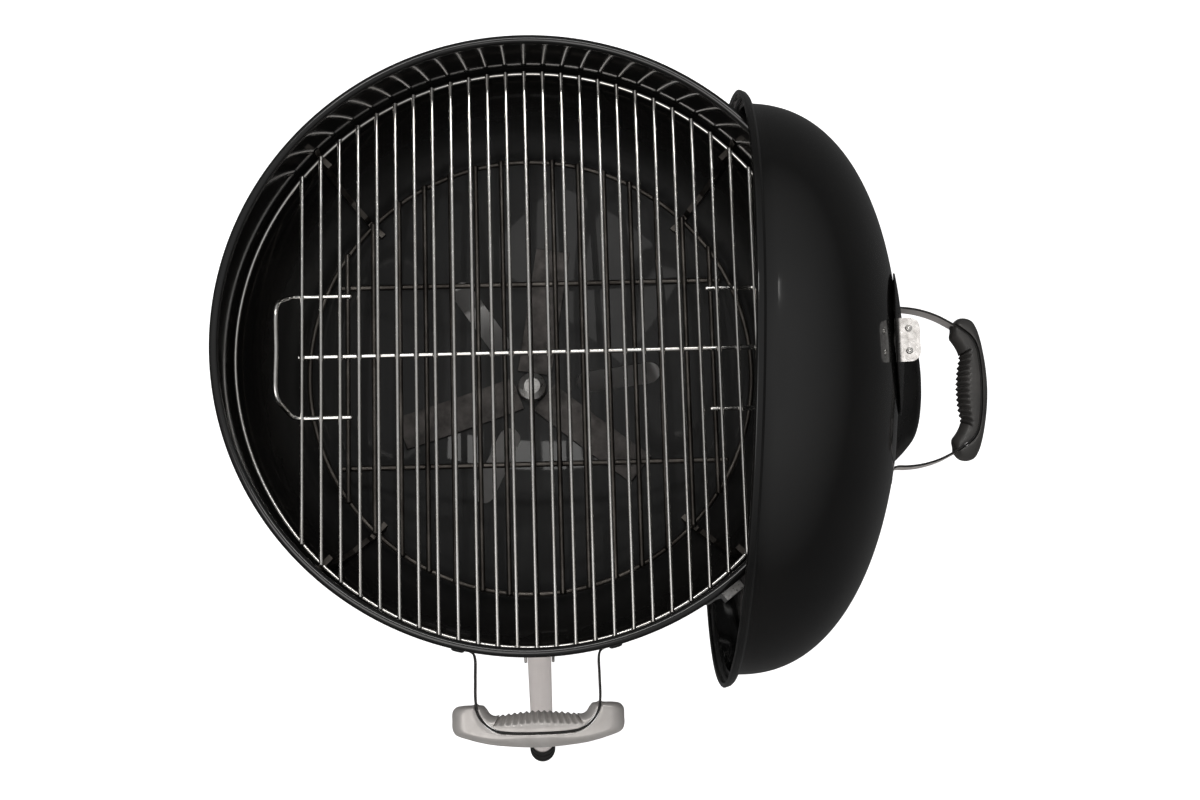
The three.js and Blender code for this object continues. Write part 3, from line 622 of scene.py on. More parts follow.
def make_bowl():
    roll = arc(ROLL_CENTRE, -ROLL_R, ROLL_R, -96, 240, 29)
    outer = bowl_curve(0)
    inner = bowl_curve(BOWL_WALL)[::-1]
    shares, flare = (0.35, 0.7, 1.0), BOWL_R - BOWL_SIDE
    rise_out = [(BOWL_SIDE + flare * t, -BOWL_STRAIGHT + FLARE_HEIGHT * t) for t in shares]
    rise_in = [(BOWL_SIDE - BOWL_WALL + flare * t, -BOWL_STRAIGHT + FLARE_HEIGHT * t) for t in shares[::-1]]
    profile = [*outer, *rise_out, *roll, *rise_in, *inner]
    half, near, far = 11.0, 57.0, 119.0
    vent = slab(arc(far, 0, half, -90, 90, 13) + arc(near, 0, half, 90, 270, 13), 60)
    slots = [moved(vent, turn("Z", -115 + 120 * i) @ shift(0, 0, -220)) for i in range(3)]
    piece("bowl_shell", lathe(profile, 224), ENAMEL, "root", ["bowl"], cutters=slots, angle=50)


def make_grate(name, look, z, radius, wire_radius, rod_radius, pitch, each_side, extra):
    """Rods across a ring, sunk a little into it and with a weld at each end, and whatever else is given."""
    sunk = 0.7
    height = z + wire_radius + rod_radius - sunk
    shapes = [ring(radius, wire_radius, z)]
    for i in range(-each_side, each_side + 1):
        x = i * pitch
        reach = math.sqrt(radius ** 2 - x ** 2) + wire_radius
        shapes.append(straight((x, -reach, height), (x, reach, height), rod_radius))
        for end in (-1, 1):
            shapes.append(bead((x, end * (reach - wire_radius), height - 0.9), rod_radius * 1.45))
    piece(name + "_wires", joined(*shapes, *extra), look, name, [name], welded=False, angle=60)


def make_cooking_grate():
    z, pitch, under = -69.7, 17.6, -67.9
    brace_z = under - 2.2
    extra = [straight((-216, 0, brace_z), (216, 0, brace_z), 2.5)]
    extra += [bead((i * pitch, 0, under - 0.2), 2.9, 0.7) for i in range(-12, 13)]
    rise = [(165, -57.5, 0), (190, -57.5, 0), (212, -57.5, 0), (219, -56.5, 4), (224, -52, 16),
            (229, -46, 28), (231, -39, 32), (231, 0, 32)]
    route = rise + [(x, -y, h) for x, y, h in reversed(rise[:-1])]
    for side in (-1, 1):
        extra.append(wire([(side * x, y, under - 1.9 + h) for x, y, h in route], 2.3, 110))
    make_grate("cooking_grate", BRIGHT_WIRE, z, 273.0, 2.0, 1.9, pitch, 12, extra)


def make_charcoal_grate():
    extra = [straight((-190, y, -165.4), (190, y, -165.4), 2.8) for y in (-90, 90)]
    extra += [bead((i * 25.5, y, -163.2), 3.2, 0.7) for i in range(-7, 8) for y in (-90, 90)]
    make_grate("charcoal_grate", DARK_WIRE, -165.0, 216.0, 2.6, 2.4, 25.5, 7, extra)


# ---- legs, wheels, ash pan
def leg_frame(side):
    """A leg's own frame, in millimetres: its Z runs up the leg and starts near its top."""
    return turn("Z", LEG_AZIMUTH[side]) @ shift(LEG_TOP, 0, LEG_Z) @ Matrix.Rotation(-LEG_TILT, 4, "Y")


def tube(outer, bore, start, end, rounding=0.5):
    corners = [(bore, -end), (outer, -end), (outer, -start), (bore, -start)]
    return lathe(fillet(corners, rounding, closed=True), 96)


def weld_seam(side):
    """A bead where the leg's socket meets the bowl, in the leg's frame."""
    place = leg_frame(side)
    path = []
    for i in range(48):
        x, y = polar(16.4, 360 * i / 48)
        low, high = -30.0, 70.0
        for _ in range(30):
            middle = (low + high) / 2
            p = place @ Vector((x, y, -middle))
            r = math.hypot(p.x, p.y)
            inside = (r / BOWL_SIDE) ** 2 + ((p.z + BOWL_STRAIGHT) / (BOWL_DEPTH - BOWL_STRAIGHT)) ** 2 < 1
            low, high = (middle, high) if inside else (low, middle)
        path.append((x, y, -high - 0.6))
    return sweep(path, circle(1.5, 10), closed=True)


def make_legs():
    for side in LEG_AZIMUTH:
        place = BOWL @ metres(leg_frame(side))
        inverse = leg_frame(side).inverted()
        piece(f"{side}_socket_tube", tube(16.0, 13.1, -12, 78, 0.8), ENAMEL, "root",
              [f"{side}_leg_socket"], place, cutters=[moved(bowl_solid(-GAP), inverse)], angle=45)
        weld = mesh_object(f"{side}_socket_weld", weld_seam(side))
        shade(weld, 80)
        weld.matrix_world = place
        dress(weld, ENAMEL, "root")
        end = LEG_END[side]
        cutters = []
        if side != "front":
            cutters = [moved(drill(5.35, 800), inverse @ shift(0, AXLE_Y, AXLE_Z) @ turn("Y", 90))]
            plug = [(0, -end - 3), (9.5, -end - 3), (12.5, -end - 1.4), (12.5, -end - GAP),
                    (10.7, -end - GAP), (10.7, 12 - end), (0, 12 - end)]
            piece(f"{side}_leg_end_plug", lathe(fillet(plug, 0.7), 72), BLACK_PLASTIC, "root",
                  [f"{side}_leg_plug"], place)
        piece(f"{side}_leg_tube", tube(12.7, 11.0, 22, end), PAINTED_SHEEN_LEG_METAL, "root", [f"{side}_leg"], place,
              cutters=cutters, angle=45)


def make_foot_cap():
    """A boot over the end of the front leg, cut flat at the floor, with two raised rings."""
    top, outer = -504.0, 15.2
    groove = outer - 0.7
    profile = [(0, -560), (outer, -560), (outer, -528), (groove, -527), (groove, -524), (outer, -523),
               (outer, -515.5), (groove, -514.5), (groove, -511.5), (outer, -510.5), (outer, top - 1.2),
               (outer - 0.9, top), (13.1, top), (13.1, -520.3), (0, -520.3)]
    obj = mesh_object("front_foot_boot", lathe(fillet(profile, 0.5), 96))
    bm = bmesh.new()
    bm.from_mesh(obj.data)
    from_floor = leg_frame("front").inverted()
    cut = bmesh.ops.bisect_plane(bm, geom=bm.verts[:] + bm.edges[:] + bm.faces[:],
                                 plane_co=from_floor @ Vector((0, 0, -RIM_Z)) * MM,
                                 plane_no=from_floor.to_3x3() @ Vector((0, 0, 1)), clear_inner=True)
    edges = [e for e in cut["geom_cut"] if isinstance(e, bmesh.types.BMEdge)]
    bmesh.ops.contextual_create(bm, geom=edges)
    bmesh.ops.recalc_face_normals(bm, faces=bm.faces)
    bm.to_mesh(obj.data)
    bm.free()
    shade(obj, 35)
    obj.data.transform(BOWL @ metres(leg_frame("front")))
    dress(obj, BLACK_PLASTIC, "root", ["front_foot_cap"])


def make_wheels():
    axle = fillet([(0, -271), (5, -271), (5, 271), (0, 271)], 0.8)
    piece("axle_rod", lathe(axle, 48), PLAIN_STEEL, "root", ["wheel_axle"],
          BOWL @ metres(shift(0, AXLE_Y, AXLE_Z)) @ turn("Y", 90))
    for side, sign in (("left", -1), ("right", 1)):
        place = BOWL @ metres(shift(sign * WHEEL_X, AXLE_Y, AXLE_Z)) @ turn("Y", 90 * sign)
        body = f"{side}_wheel"
        tread = fillet([(84, -17), (93, -20), (97.5, -18.5), (99.95, -12), (99.95, 12), (97.5, 18.5),
                        (93, 20), (84, 17)], 2.0, closed=True)
        lug = slab(fillet([(98.4, -1.3), (103, -1.9), (103, 1.9), (98.4, 1.3)], 0.3, closed=True), 44)
        grooves = [moved(lug, turn("Z", 10 * i + 5)) for i in range(36)]
        piece(f"{body}_tread", lathe(tread, 180), TYRE, body, [f"{body}_tyre"], place, angle=30,
              cutters=[joined(*grooves)])
        half = fillet([(5.35, -20), (18, -20), (21, -5), (75, -4), (83.2, -15.2), (83.2, 15.2), (75, 4),
                       (21, 5), (18, 20), (5.35, 20)], 1.6, closed=True)
        fin = slab(fillet([(19, 0), (19, 15), (77, 8.5), (79, 0)], 1.5, closed=True), 5)
        spokes = [moved(fin, turn("Z", 45 * i) @ turn("X", 90 + flip)) for i in range(8) for flip in (0, 180)]
        piece(f"{body}_disc_web", joined(lathe(half, 144), *spokes), BLACK_PLASTIC, body,
              [f"{body}_disc"], place, angle=30, welded=False)
        cap = fillet([(0, 29), (7, 28.6), (12, 26.6), (14.6, 23), (15, 20.3), (7, 20.3), (7, 26.3),
                      (0, 26.3)], 1.2)
        piece(f"{body}_hub_cap", lathe(cap, 96), SPUN, body, [f"{body}_cap"], place)


def make_ash_pan():
    rim = PAN_R - 12
    top, floor = PAN_Z, PAN_Z - PAN_DEPTH
    profile = [(0, floor), (PAN_FLOOR, floor), (rim, top - PAN_SHEET - 2), (PAN_R - 3, top - PAN_SHEET - 1),
               (PAN_R, top - 2.2), (PAN_R, top - 0.2), (PAN_R - 2, top), (rim - 1, top - 1.2),
               (PAN_FLOOR - 1, floor + PAN_SHEET), (0, floor + PAN_SHEET)]
    radii = [0, 8, 4, 1, 0.8, 0.8, 0.8, 3, 8, 0]
    piece("ash_pan_dish", lathe(fillet(profile, radii, steps=6), 192), SPUN, "ash_pan", ["ash_pan"])


def make_pan_clips():
    """Wire loops: closed under the pan's flange, with their two ends at the sides of the leg."""
    z = PAN_Z - PAN_SHEET - 1.6 - GAP
    leg = LEG_TOP + (LEG_Z - z) * math.tan(LEG_TILT)
    half = [(leg + 3, 14.7), (leg - 12, 15.1), (201, 21), (181, 20), (174, 13), (171, 5)]
    route = [(x, y, z) for x, y in half] + [(x, -y, z) for x, y in reversed(half)]
    for side, azimuth in LEG_AZIMUTH.items():
        piece(f"{side}_pan_clip_wire", wire(route, 1.6, 120), PLAIN_STEEL, "root", [f"{side}_pan_clip"],
              BOWL @ turn("Z", azimuth))


def make_sweeper():
    hub_z, hub_r, tip, half_width = bowl_inside_z(0) + 14, 15.3, 139.3, 17
    pin = [(0, LEVER_Z - 3), (4, LEVER_Z - 3), (4, hub_z - 12), (15, hub_z - 12), (14, hub_z - 3), (8, hub_z),
           (0, hub_z)]
    piece("sweeper_pin", lathe(fillet(pin, 0.8), 72), PLAIN_STEEL, "sweeper", ["sweeper_spindle"])
    line = []
    for k in range(25):
        r = hub_r + (tip - hub_r) * k / 24
        line.append((r, bowl_inside_z(math.hypot(r, half_width)) + 2.4))
    outline = [*map(tuple, offset(line, 0.8)), *map(tuple, offset(line, -0.8)[::-1])]
    hub_cut = lathe([(0, LEVER_Z), (15.5, LEVER_Z), (15.5, hub_z + 5), (0, hub_z + 5)], 96)
    for i in range(3):
        blade = moved(slab(outline, 2 * half_width), turn("Z", SWEEP_AZIMUTH + 120 * i) @ turn("X", 90))
        piece(f"sweeper_blade_{i + 1}_sheet", blade, DARKENED_BLADE_METAL, "sweeper", [f"sweeper_blade_{i + 1}"],
              cutters=[hub_cut], rounding=0.35, angle=30)
    place = BOWL @ turn("Z", SWEEP_AZIMUTH) @ metres(shift(0, 0, LEVER_Z))
    eye = [polar(11, a) for a in range(28, 333, 8)]
    neck = polar(11, 28)[0]
    bar = [(neck, 5), *eye[1:-1], (neck, -5), (198, -5), (198, 5)]
    piece("sweeper_lever_bar", slab(bar, 3), PLAIN_STEEL, "sweeper", ["sweeper_lever"], place,
          cutters=[drill(4.3, 40)], rounding=0.5, angle=30)
    knob = [(0, 0), (7, 0), (8.5, 4), (8.3, 12), (7.5, 22), (6, 26), (0, 28)]
    piece("sweeper_lever_grip", lathe(fillet(knob, [0, 1, 3, 6, 4, 3, 0], steps=6), 72), BLACK_PLASTIC,
          "sweeper", ["sweeper_lever_knob"], place @ metres(shift(198.3, 0, 0)) @ turn("Y", 90))


# ---- handles
FRONT = {
    "strap": [(80, 270.6), (70, 273.5), (60, 275.9), (56.5, 278.5), (55, 283), (55, 300), (55, 321),
              (52.9, 331.7), (46.8, 340.8), (37.7, 346.9), (27, 349), (13, 349.8), (0, 350)],
    "inner": [(51.5, 323.6), (48, 324.2), (45.2, 327.2), (42.5, 331.2), (38.5, 333.2), (33.8, 332.6),
              (20, 330.8), (9, 329.8), (0, 329.4)],
    "outer": [(58, 323.6), (66, 323.8), (72.5, 325.2), (75.6, 329), (76, 337), (75.8, 344), (73.2, 349),
              (60, 354.2), (48, 357.4), (39, 359.1), (16, 361.4), (0, 362)],
    "grip_from": 322.6,
}
HUNG = {
    "strap": [(98, 0), (88, 0), (81.5, 162.4), (79.4, 166.4), (78.9, 177), (76.9, 191), (71.5, 208),
              (62.5, 225), (58, 232), (51, 240.5), (41, 246), (21, 249.3), (0, 250.2)],
    "inner": [(57.5, 222.8), (53, 221.4), (49.6, 221.8), (46.5, 224), (41.5, 227.2), (33.8, 230.2), (20, 228),
              (9, 226.9), (0, 226.6)],
    "outer": [(65.5, 224.6), (68.5, 227), (70.8, 231), (71.2, 237), (68.5, 243.5), (62, 247.6), (54, 250.4),
              (40, 253.6), (20, 256.6), (0, 257.7)],
    "grip_from": 222.6,
}
RIB_PITCH, RIB_DEPTH, RIB_EACH_SIDE = 5.2, 3.0, 6
RIB_REACH, RIB_PULL, RIB_CUT = 11.5, 1.9, 0.72
SEAM_GAP = 1.3
END_ROUND = 5.0
EDGE_POWER = 2.1


def grip_half(seam, outline, height, edge, grooved):
    """A moulded half grip, lofted between its seam and its outline, thinning to a round edge."""
    across = 15
    run = lengths((seam + outline) / 2)
    points = []
    for i, at in enumerate(run):
        from_end = min(at, run[-1] - at)
        end = 1 - (1 - min(from_end / END_ROUND, 1)) ** 2.2
        width = np.linalg.norm(outline[i] - seam[i])
        x = outline[i][0]
        groove = 0.0
        if grooved and abs(x) < (RIB_EACH_SIDE + 0.5) * RIB_PITCH:
            phase = abs((x / RIB_PITCH) % 1 - 0.5) * 2
            groove = RIB_DEPTH * (1 - phase ** 1.35)
        upper = []
        for k in range(across + 1):
            f = math.sin(math.pi / 2 * k / across)
            from_edge = (1 - f) * width
            lift = (1 - (1 - min(from_edge / edge, 1)) ** EDGE_POWER) ** (1 / EDGE_POWER)
            seam_break = 1 - 0.05 * math.exp(-f * width / 0.5)
            fall = 1 - (0.10 if grooved else 0.05) * f
            wedge = groove / RIB_DEPTH * (1 - min(from_edge / RIB_REACH, 1)) ** 0.8
            pull = RIB_PULL * wedge ** 1.5
            p = seam[i] + (outline[i] - seam[i]) * (f - pull / max(width, 1))
            z = height * math.sqrt(max(end, 0)) * lift * seam_break * fall * (1 - RIB_CUT * wedge)
            upper.append((p[0], p[1], z))
        points.append(upper + [(x, y, -z) for x, y, z in reversed(upper[:-1])])
    return np.array(points).reshape(-1, 3), tube_faces(len(points), len(points[0]))


def make_handle(prefix, shape, body, nodes, place, strap_points, holes, look):
    line = smooth_path(mirrored(strap_points), 300)
    flat = fillet([(-1, -10), (1, -10), (1, 10), (-1, 10)], 0.55, closed=True)
    path = [(x, y, 0) for x, y in line]
    piece(f"{prefix}_strap_band", sweep(path, flat, up=(0, 0, 1)), STRAP_METAL, body, [nodes[0]], place,
          cutters=holes, angle=35)
    fine = smooth_path(mirrored(strap_points), 1200)
    held = fine[fine[:, 1] > shape["grip_from"]]
    seams = sorted((offset(held, SEAM_GAP), offset(held, -SEAM_GAP)), key=lambda s: np.abs(s[:, 0]).max())
    halves = (("inner", 261, 11.5, 11.0, True), ("outer", 161, 13.5, 11.5, False))
    for node, seam, (half, count, height, edge, grooved) in zip(nodes[1:], seams, halves):
        outline = smooth_path(mirrored(shape[half]), count)
        grip = grip_half(resample(seam, count), outline, height, edge, grooved)
        piece(f"{prefix}_{half}_shell", grip, look, body, [node], place, angle=60, baked=True)


def bolt(shank):
    profile = [(0, -shank), (2.6, -shank), (2.6, 0), (6, 0), (6, 0.7), (4.4, 1.6), (2.2, 1.78), (0, 1.8)]
    return lathe(fillet(profile, [0, 0.5, 0, 0.2, 0.4, 0.8, 0.8, 0]), 48)


def cross_slot():
    """The screwdriver cross in a bolt's head."""
    arm = slab([(-2.6, -0.45), (2.6, -0.45), (2.6, 0.45), (-2.6, 0.45)], 4)
    return [moved(arm, turn("Z", a) @ shift(0, 0, 2.9)) for a in (0, 90)]


def make_front_handle():
    place = BOWL @ metres(shift(0, 0, FRONT_Z)) @ turn("Z", 180)
    bolt_x, bolt_y = 70, 273.5
    holes = []
    for i, side in enumerate((-1, 1)):
        lean = -math.atan2(side * bolt_x, bolt_y)
        seat = shift(side * bolt_x, bolt_y, 0) @ Matrix.Rotation(lean, 4, "Z")
        holes.append(moved(drill(3, 20, 32), seat @ turn("X", -90)))
        piece(f"front_handle_screw_{i + 1}", bolt(6), BLACK_SCREW, "root", [f"front_handle_bolt_{i + 1}"],
              place @ metres(seat @ shift(0, 1 + GAP, 0)) @ turn("X", -90), cutters=cross_slot(), angle=30)
    nodes = ["front_handle_strap", "front_handle_inner_grip", "front_handle_outer_grip"]
    # The front grip's finish is light grey with painted sheen.
    make_handle("front_handle", FRONT, "root", nodes, place, FRONT["strap"], holes, PAINTED_SHEEN_GRIP)


# ---- lid
HANDLE_TILT = shift(0, 0, -646) @ turn("Y", 0.34) @ shift(0, 0, 646)
LID_BOLT_U = 91
STAND_OFF = 0.6


def dome_height(radius):
    rise = LID_DEPTH - LID_SHOULDER
    return LID_SHOULDER + rise * (1 - (radius / LID_DOME) ** LID_POWER) ** (1 / LID_POWER)


def dome_curve(inset):
    count, side, rise = 72, LID_DOME - inset, LID_DEPTH - LID_SHOULDER - inset
    power = 2 / LID_POWER
    out = [(side, LID_SHOULDER)]
    for i in range(1, count + 1):
        t = math.pi / 2 * (1 - i / count)
        out.append((side * math.sin(t) ** power, LID_SHOULDER + rise * math.cos(t) ** power))
    return out


def on_dome(u, v):
    """A frame on the dome at (u, v), with its Z along the outward normal."""
    radius = math.hypot(u, v)
    slope = dome_height(radius - 0.5) - dome_height(radius + 0.5)
    normal = Vector((slope * u / radius, slope * v / radius, 1)).normalized()
    turn_to = Vector((0, 0, 1)).rotation_difference(normal).to_matrix().to_4x4()
    return shift(u, v, dome_height(radius)) @ turn_to


def lid_bolt_holes(depth):
    return [moved(drill(3, depth), on_dome(side * LID_BOLT_U, 0)) for side in (-1, 1)]


def damper_holes():
    return [moved(drill(DAMPER_HOLE, 30), shift(*polar(DAMPER_HOLE_CIRCLE, 90 * i), 0)) for i in range(4)]

def make_lid():
    rim = LID_RIM - 0.05
    outside = [(rim - 2.6, 0.0), (rim, 1.8), (rim - 0.8, 4.0), (rim - 1.8, 6.8), (rim - 4.4, 9.2),
               (LID_DOME + 1.6, 9.8)]
    inside = [(LID_DOME - LID_WALL - 0.6, 8.4), (rim - 4.6, 6.6), (rim - 4.0, 4.0), (rim - 5.2, 1.4)]
    band = fillet([*inside, *outside], [1.5, 1.5, 1.0, 1.0, 1.2, 1.2, 1.0, 1.5, 1.6, 1.2], steps=5)
    profile = [*dome_curve(LID_WALL)[::-1][:-1], *[tuple(p) for p in band], *dome_curve(0)[1:]]
    seat = on_dome(DAMPER_U, DAMPER_V) @ turn("Z", DAMPER_TURN)
    cutters = [moved(hole, seat) for hole in (drill(3.4, 30), *damper_holes())]
    cutters += [moved(hole, HANDLE_TILT) for hole in lid_bolt_holes(20)]
    piece("lid_dome", lathe(profile, 256), ENAMEL, "lid", ["lid_shell"], LID, cutters=cutters, angle=50)


def make_heat_shield():
    """A pressed oval plate that keeps the handle cool; it stands off the crown between the strap's feet."""
    half_length, half_width, sheet, crown = 96.0, 46.0, 1.2, 191.0
    end_room = 14

    def seat(u):
        return dome_height(u) + sheet / 2 + STAND_OFF
    side = [(half_length, seat(half_length)), (86, seat(86)), (79.5, seat(79.5) + 0.8), (75, seat(75) + 4.5),
            (70, seat(70) + 9), (62, seat(62) + 15.5), (50, 183.5), (35, 188.2), (15, 190.6), (0, crown)]
    line = smooth_path(mirrored(side), 121)
    across = np.linspace(-1, 1, 33)
    points, faces = [], []
    for layer in (1, -1):
        for u, h in line:
            reach = half_width * math.sqrt(max(1 - (u / (half_length + end_room)) ** 2, 0))
            rise = max(h - seat(abs(u)), 0)
            for a in across:
                v = a * reach
                z = seat(math.hypot(u, v)) + rise * (1 - abs(a) ** 2.5)
                points.append((u, v, z + layer * sheet / 2))
    rows, size = len(line), len(across)
    for layer in (0, 1):
        base = layer * rows * size
        for i in range(rows - 1):
            for k in range(size - 1):
                a = base + i * size + k
                faces.append([a, a + 1, a + size + 1, a + size])
    rim = ([i * size for i in range(rows)] + [(rows - 1) * size + k for k in range(1, size)]
           + [i * size + size - 1 for i in range(rows - 2, -1, -1)] + list(range(size - 2, 0, -1)))
    base = rows * size
    for a, b in zip(rim, rim[1:] + rim[:1]):
        faces.append([a, b, base + b, base + a])
    piece("lid_heat_plate", (points, faces), HEAT_PAINT, "lid", ["lid_heat_shield"],
          LID @ metres(HANDLE_TILT), cutters=lid_bolt_holes(20), rounding=0.3, angle=40)


def make_lid_handle():
    lift = 3.4
    strap = [(u, w or dome_height(u) + lift) for u, w in HUNG["strap"]]
    place = LID @ metres(HANDLE_TILT) @ turn("X", 90)
    holes = [moved(hole, turn("X", -90)) for hole in lid_bolt_holes(30)]
    nodes = ["lid_handle_strap", "lid_handle_inner_grip", "lid_handle_outer_grip"]
    make_handle("lid_handle", HUNG, "lid", nodes, place, strap, holes, DARK_GRIP)
    for i, side in enumerate((-1, 1)):
        seat = metres(HANDLE_TILT @ on_dome(side * LID_BOLT_U, 0) @ shift(0, 0, lift + 1 + 3 * GAP))
        piece(f"lid_handle_screw_{i + 1}", bolt(14), BLACK_SCREW, "lid", [f"lid_handle_bolt_{i + 1}"],
              LID @ seat, cutters=cross_slot(), angle=30)


def make_damper():
    seat = LID @ metres(on_dome(DAMPER_U, DAMPER_V)) @ turn("Z", DAMPER_TURN)

    def sag(r):
        return DAMPER_CURVE - math.sqrt(DAMPER_CURVE ** 2 - r ** 2)
    radii = np.linspace(4.2, DAMPER_R, 20)
    lower = [(r, DAMPER_LIFT - sag(r)) for r in radii]
    upper = [(r, DAMPER_LIFT + DAMPER_SHEET - sag(r)) for r in radii[::-1]]
    edge = (DAMPER_R, DAMPER_LIFT + DAMPER_SHEET / 2 - sag(DAMPER_R))
    disc = lathe([*lower[:-1], (DAMPER_R - 0.4, lower[-1][1]), edge, (DAMPER_R - 0.4, upper[0][1]),
                  *upper[1:]], 160)
    half, height, corner = 19.5, 20.0, 9.0
    tab_edge = math.sqrt(DAMPER_R ** 2 - half ** 2) - 2.2
    base = DAMPER_LIFT - sag(tab_edge) + 1
    outline = [(-half, -2), (half, -2), (half, height - corner),
               *arc(half - corner, height - corner, corner, 0, 90, 9)[1:],
               *arc(-half + corner, height - corner, corner, 90, 180, 9)]
    tab = moved(slab(outline, DAMPER_SHEET), shift(0, tab_edge + DAMPER_SHEET / 2, base) @ turn("X", 90))
    rivet_x, rivet_z = 10, base - 1 + height * 0.55
    holes = damper_holes()
    for side in (-1, 1):
        at = shift(side * rivet_x, tab_edge + DAMPER_SHEET / 2, rivet_z)
        holes.append(moved(drill(1.9, 12), at @ turn("X", 90)))
    piece("lid_damper_plate", joined(disc, tab), DAMPER_METAL_WITH_PAINTED_SHADE, "lid_damper", ["lid_damper"], seat,
          cutters=holes, rounding=0.3, angle=40)
    head = fillet([(0, -3), (1.6, -3), (1.6, 0), (3.3, 0), (2.9, 1.1), (1.6, 1.7), (0.9, 1.1), (0, 1.0)], 0.4)
    for i, side in enumerate((-1, 1)):
        place = seat @ metres(shift(side * rivet_x, tab_edge + DAMPER_SHEET + GAP, rivet_z)) @ turn("X", -90)
        piece(f"damper_tab_rivet_{i + 1}_head", lathe(head, 40), BRIGHT_WIRE, "lid_damper",
              [f"damper_tab_rivet_{i + 1}"], place)
    top = DAMPER_LIFT + DAMPER_SHEET + GAP
    pivot = fillet([(0, -10), (2.9, -10), (2.9, top), (7, top), (6.2, top + 1.7), (3.5, top + 2.9),
                    (0, top + 2.9)], [0, 0.4, 0, 0.4, 0.8, 1.5, 0])
    piece("damper_pivot_head", lathe(pivot, 56), BRIGHT_WIRE, "lid", ["damper_pivot_rivet"], seat)


def make_cradle():
    rest, spread, radius = 294.4, 38, 4.0

    def on_rest(angle, w, r=rest):
        return (*polar(r, 270 + angle), w)

    def side(sign, top):
        return [*top, (sign * 202, -60, -9), (sign * 195, -145, -9),
                on_rest(sign * (spread + 2), -9, rest - 1),
                on_rest(sign * (spread - 2.5), -5), on_rest(sign * (spread - 6), 3)]
    under = [on_rest(angle, 7) for angle in (-24, -12, 0, 12, 24)]
    front = [(-210, 122, -7), (-210, 100, -7), (-208, 70, -7), (-204, 10, -8)]
    rear = [(231.5, 122, -7), (231.5, 100, -7), (230, 70, -7), (220, 10, -8)]
    shapes = [wire([*side(-1, front), *under, *side(1, rear)[::-1]], radius, 340, 18)]
    for angle in (-28, 0, 28):
        hook = [on_rest(angle, 7), on_rest(angle, 19), on_rest(angle, 25, rest - 3),
                on_rest(angle, 27, rest - 12)]
        shapes.append(wire(hook, 3.2, 28))
        shapes.append(bead(on_rest(angle, 7), 4.8, 1.0))
    piece("lid_cradle_wire", joined(*shapes), BRIGHT_WIRE, "root", ["lid_cradle"], LID, welded=False,
          angle=60)


# ---- carried-over CAD nodes
def finish_node(node, look, width):
    """A CAD node whose shape is right: broken edges and a real finish."""
    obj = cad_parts[node]
    obj.data.materials.clear()
    obj.data.materials.append(look.material)
    bevel(obj, width, 38)


make_bowl()
make_cooking_grate()
make_charcoal_grate()
make_legs()
make_foot_cap()
make_wheels()
make_ash_pan()
make_pan_clips()
make_sweeper()
make_front_handle()
make_lid()
make_heat_shield()
make_lid_handle()
make_damper()
make_cradle()
for number in range(1, 5):
    finish_node(f"grate_bracket_{number}", DARK_WIRE, 0.5)
for name in ("cradle_clamp_front", "cradle_clamp_rear"):
    finish_node(name, PLAIN_STEEL, 0.8)


# ---- floor, light, camera
def make_floor():
    half = 9000
    square = [(-half, -half), (half, -half), (half, half), (-half, half)]
    shape = slab(fillet(square, 3000, closed=True, steps=12), 20)
    floor = mesh_object("studio_floor", moved(shape, shift(0, 0, -10)))
    look = Look("studio_white", None, Roughness=0.9, Specular_IOR_Level=0.1, Emission_Color=(1, 1, 1, 1),
                Emission_Strength=0.9)
    look.colour(look.ramp(look.noise(0.8), [(0.3, grey(0.80)), (0.7, grey(0.82))]))
    floor.data.materials.append(look.material)
    floor.visible_glossy = False


def area_light(name, position, size, radiance, colour=(1, 1, 1), glossy=True):
    """A soft light aimed at the grill. Its power keeps its radiance the same whatever its size."""
    light = bpy.data.lights.new(name, "AREA")
    light.shape, light.size, light.size_y = "RECTANGLE", *size
    light.energy = radiance * math.pi * size[0] * size[1]
    light.color = colour
    obj = new_object(name, light)
    obj.location = position
    aim = Vector((AXIS.x, AXIS.y, 0.6)) - Vector(position)
    obj.rotation_euler = aim.to_track_quat("-Z", "Y").to_euler()
    obj.visible_camera = False
    obj.visible_glossy = glossy


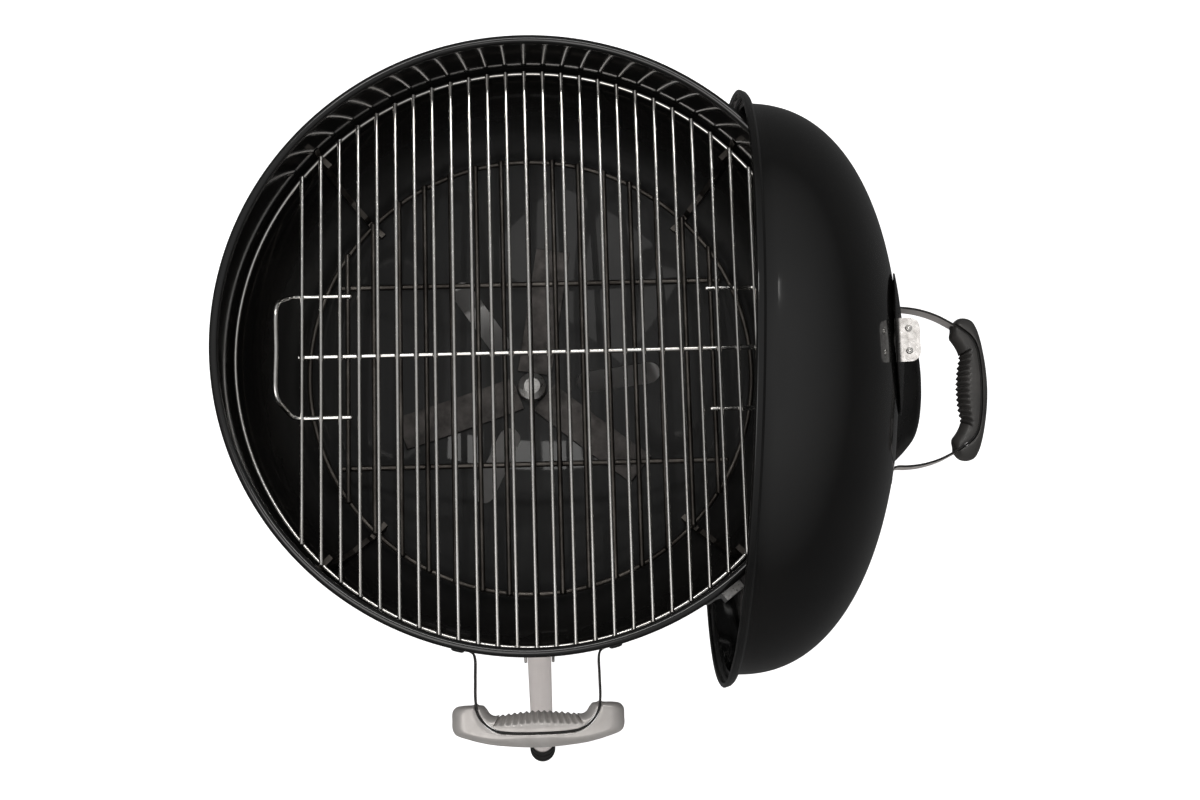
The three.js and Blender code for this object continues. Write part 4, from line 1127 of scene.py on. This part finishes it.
def make_lights():
    area_light("key_softbox", (-0.75, -0.75, 3.0), (1.9, 1.5), 1.9, (1.0, 0.975, 0.955))
    area_light("rim_light", (0.0, 1.25, 3.1), (1.5, 0.32), 8.0, (1.0, 0.99, 0.97))
    area_light("front_strip", (0.3, -2.6, 1.3), (2.4, 1.0), 1.6, (1.0, 0.98, 0.96), glossy=False)
    area_light("left_softbox", (-2.7, 0.4, 1.5), (1.2, 1.6), 0.9, glossy=False)
    area_light("back_softbox", (0.6, 2.8, 1.9), (2.0, 0.9), 1.2, (0.96, 0.98, 1.0), glossy=False)


def make_world():
    world = bpy.data.worlds.new("studio_sky")
    world.use_nodes = True
    tree = world.node_tree
    background = tree.nodes["Background"]
    coordinates = tree.nodes.new("ShaderNodeTexCoord")
    split = tree.nodes.new("ShaderNodeSeparateXYZ")
    ramp = tree.nodes.new("ShaderNodeValToRGB")
    tree.links.new(coordinates.outputs["Generated"], split.inputs[0])
    tree.links.new(split.outputs["Z"], ramp.inputs["Fac"])
    stops = ramp.color_ramp.elements
    stops[0].position, stops[0].color = 0.0, (0.06, 0.06, 0.06, 1)
    stops[1].position, stops[1].color = 0.9, (0.42, 0.42, 0.42, 1)
    tree.links.new(ramp.outputs["Color"], background.inputs["Color"])
    bpy.context.scene.world = world


def make_camera():
    """The photograph's viewpoint: high above the front of the bowl, looking down and slightly back."""
    lens, yaw_angle, tilt_angles = 57.0, -1.6, (-11.1506, -1.3808, -0.0870)
    from_rim = Vector((22.7, -385.2, 1656.1))
    data = bpy.data.cameras.new("camera")
    data.sensor_width, data.lens = 36.0, lens
    data.clip_start, data.clip_end = 0.05, 60
    camera = new_object("camera", data)
    yaw = Matrix.Rotation(math.radians(yaw_angle), 3, "Z")
    x_tilt, y_tilt, z_tilt = (Matrix.Rotation(math.radians(angle), 3, axis)
                              for angle, axis in zip(tilt_angles, "XYZ"))
    tilt = x_tilt @ y_tilt @ z_tilt @ Matrix.Diagonal((1, -1, -1))
    matrix = Matrix((yaw @ tilt[0], yaw @ -tilt[1], yaw @ -tilt[2])).transposed().to_4x4()
    matrix.translation = yaw @ from_rim * MM + Vector((AXIS.x, AXIS.y, RIM_Z * MM))
    camera.matrix_world = matrix
    bpy.context.scene.camera = camera


make_floor()
make_lights()
make_world()
make_camera()
bpy.context.scene.view_settings.view_transform = "Standard"
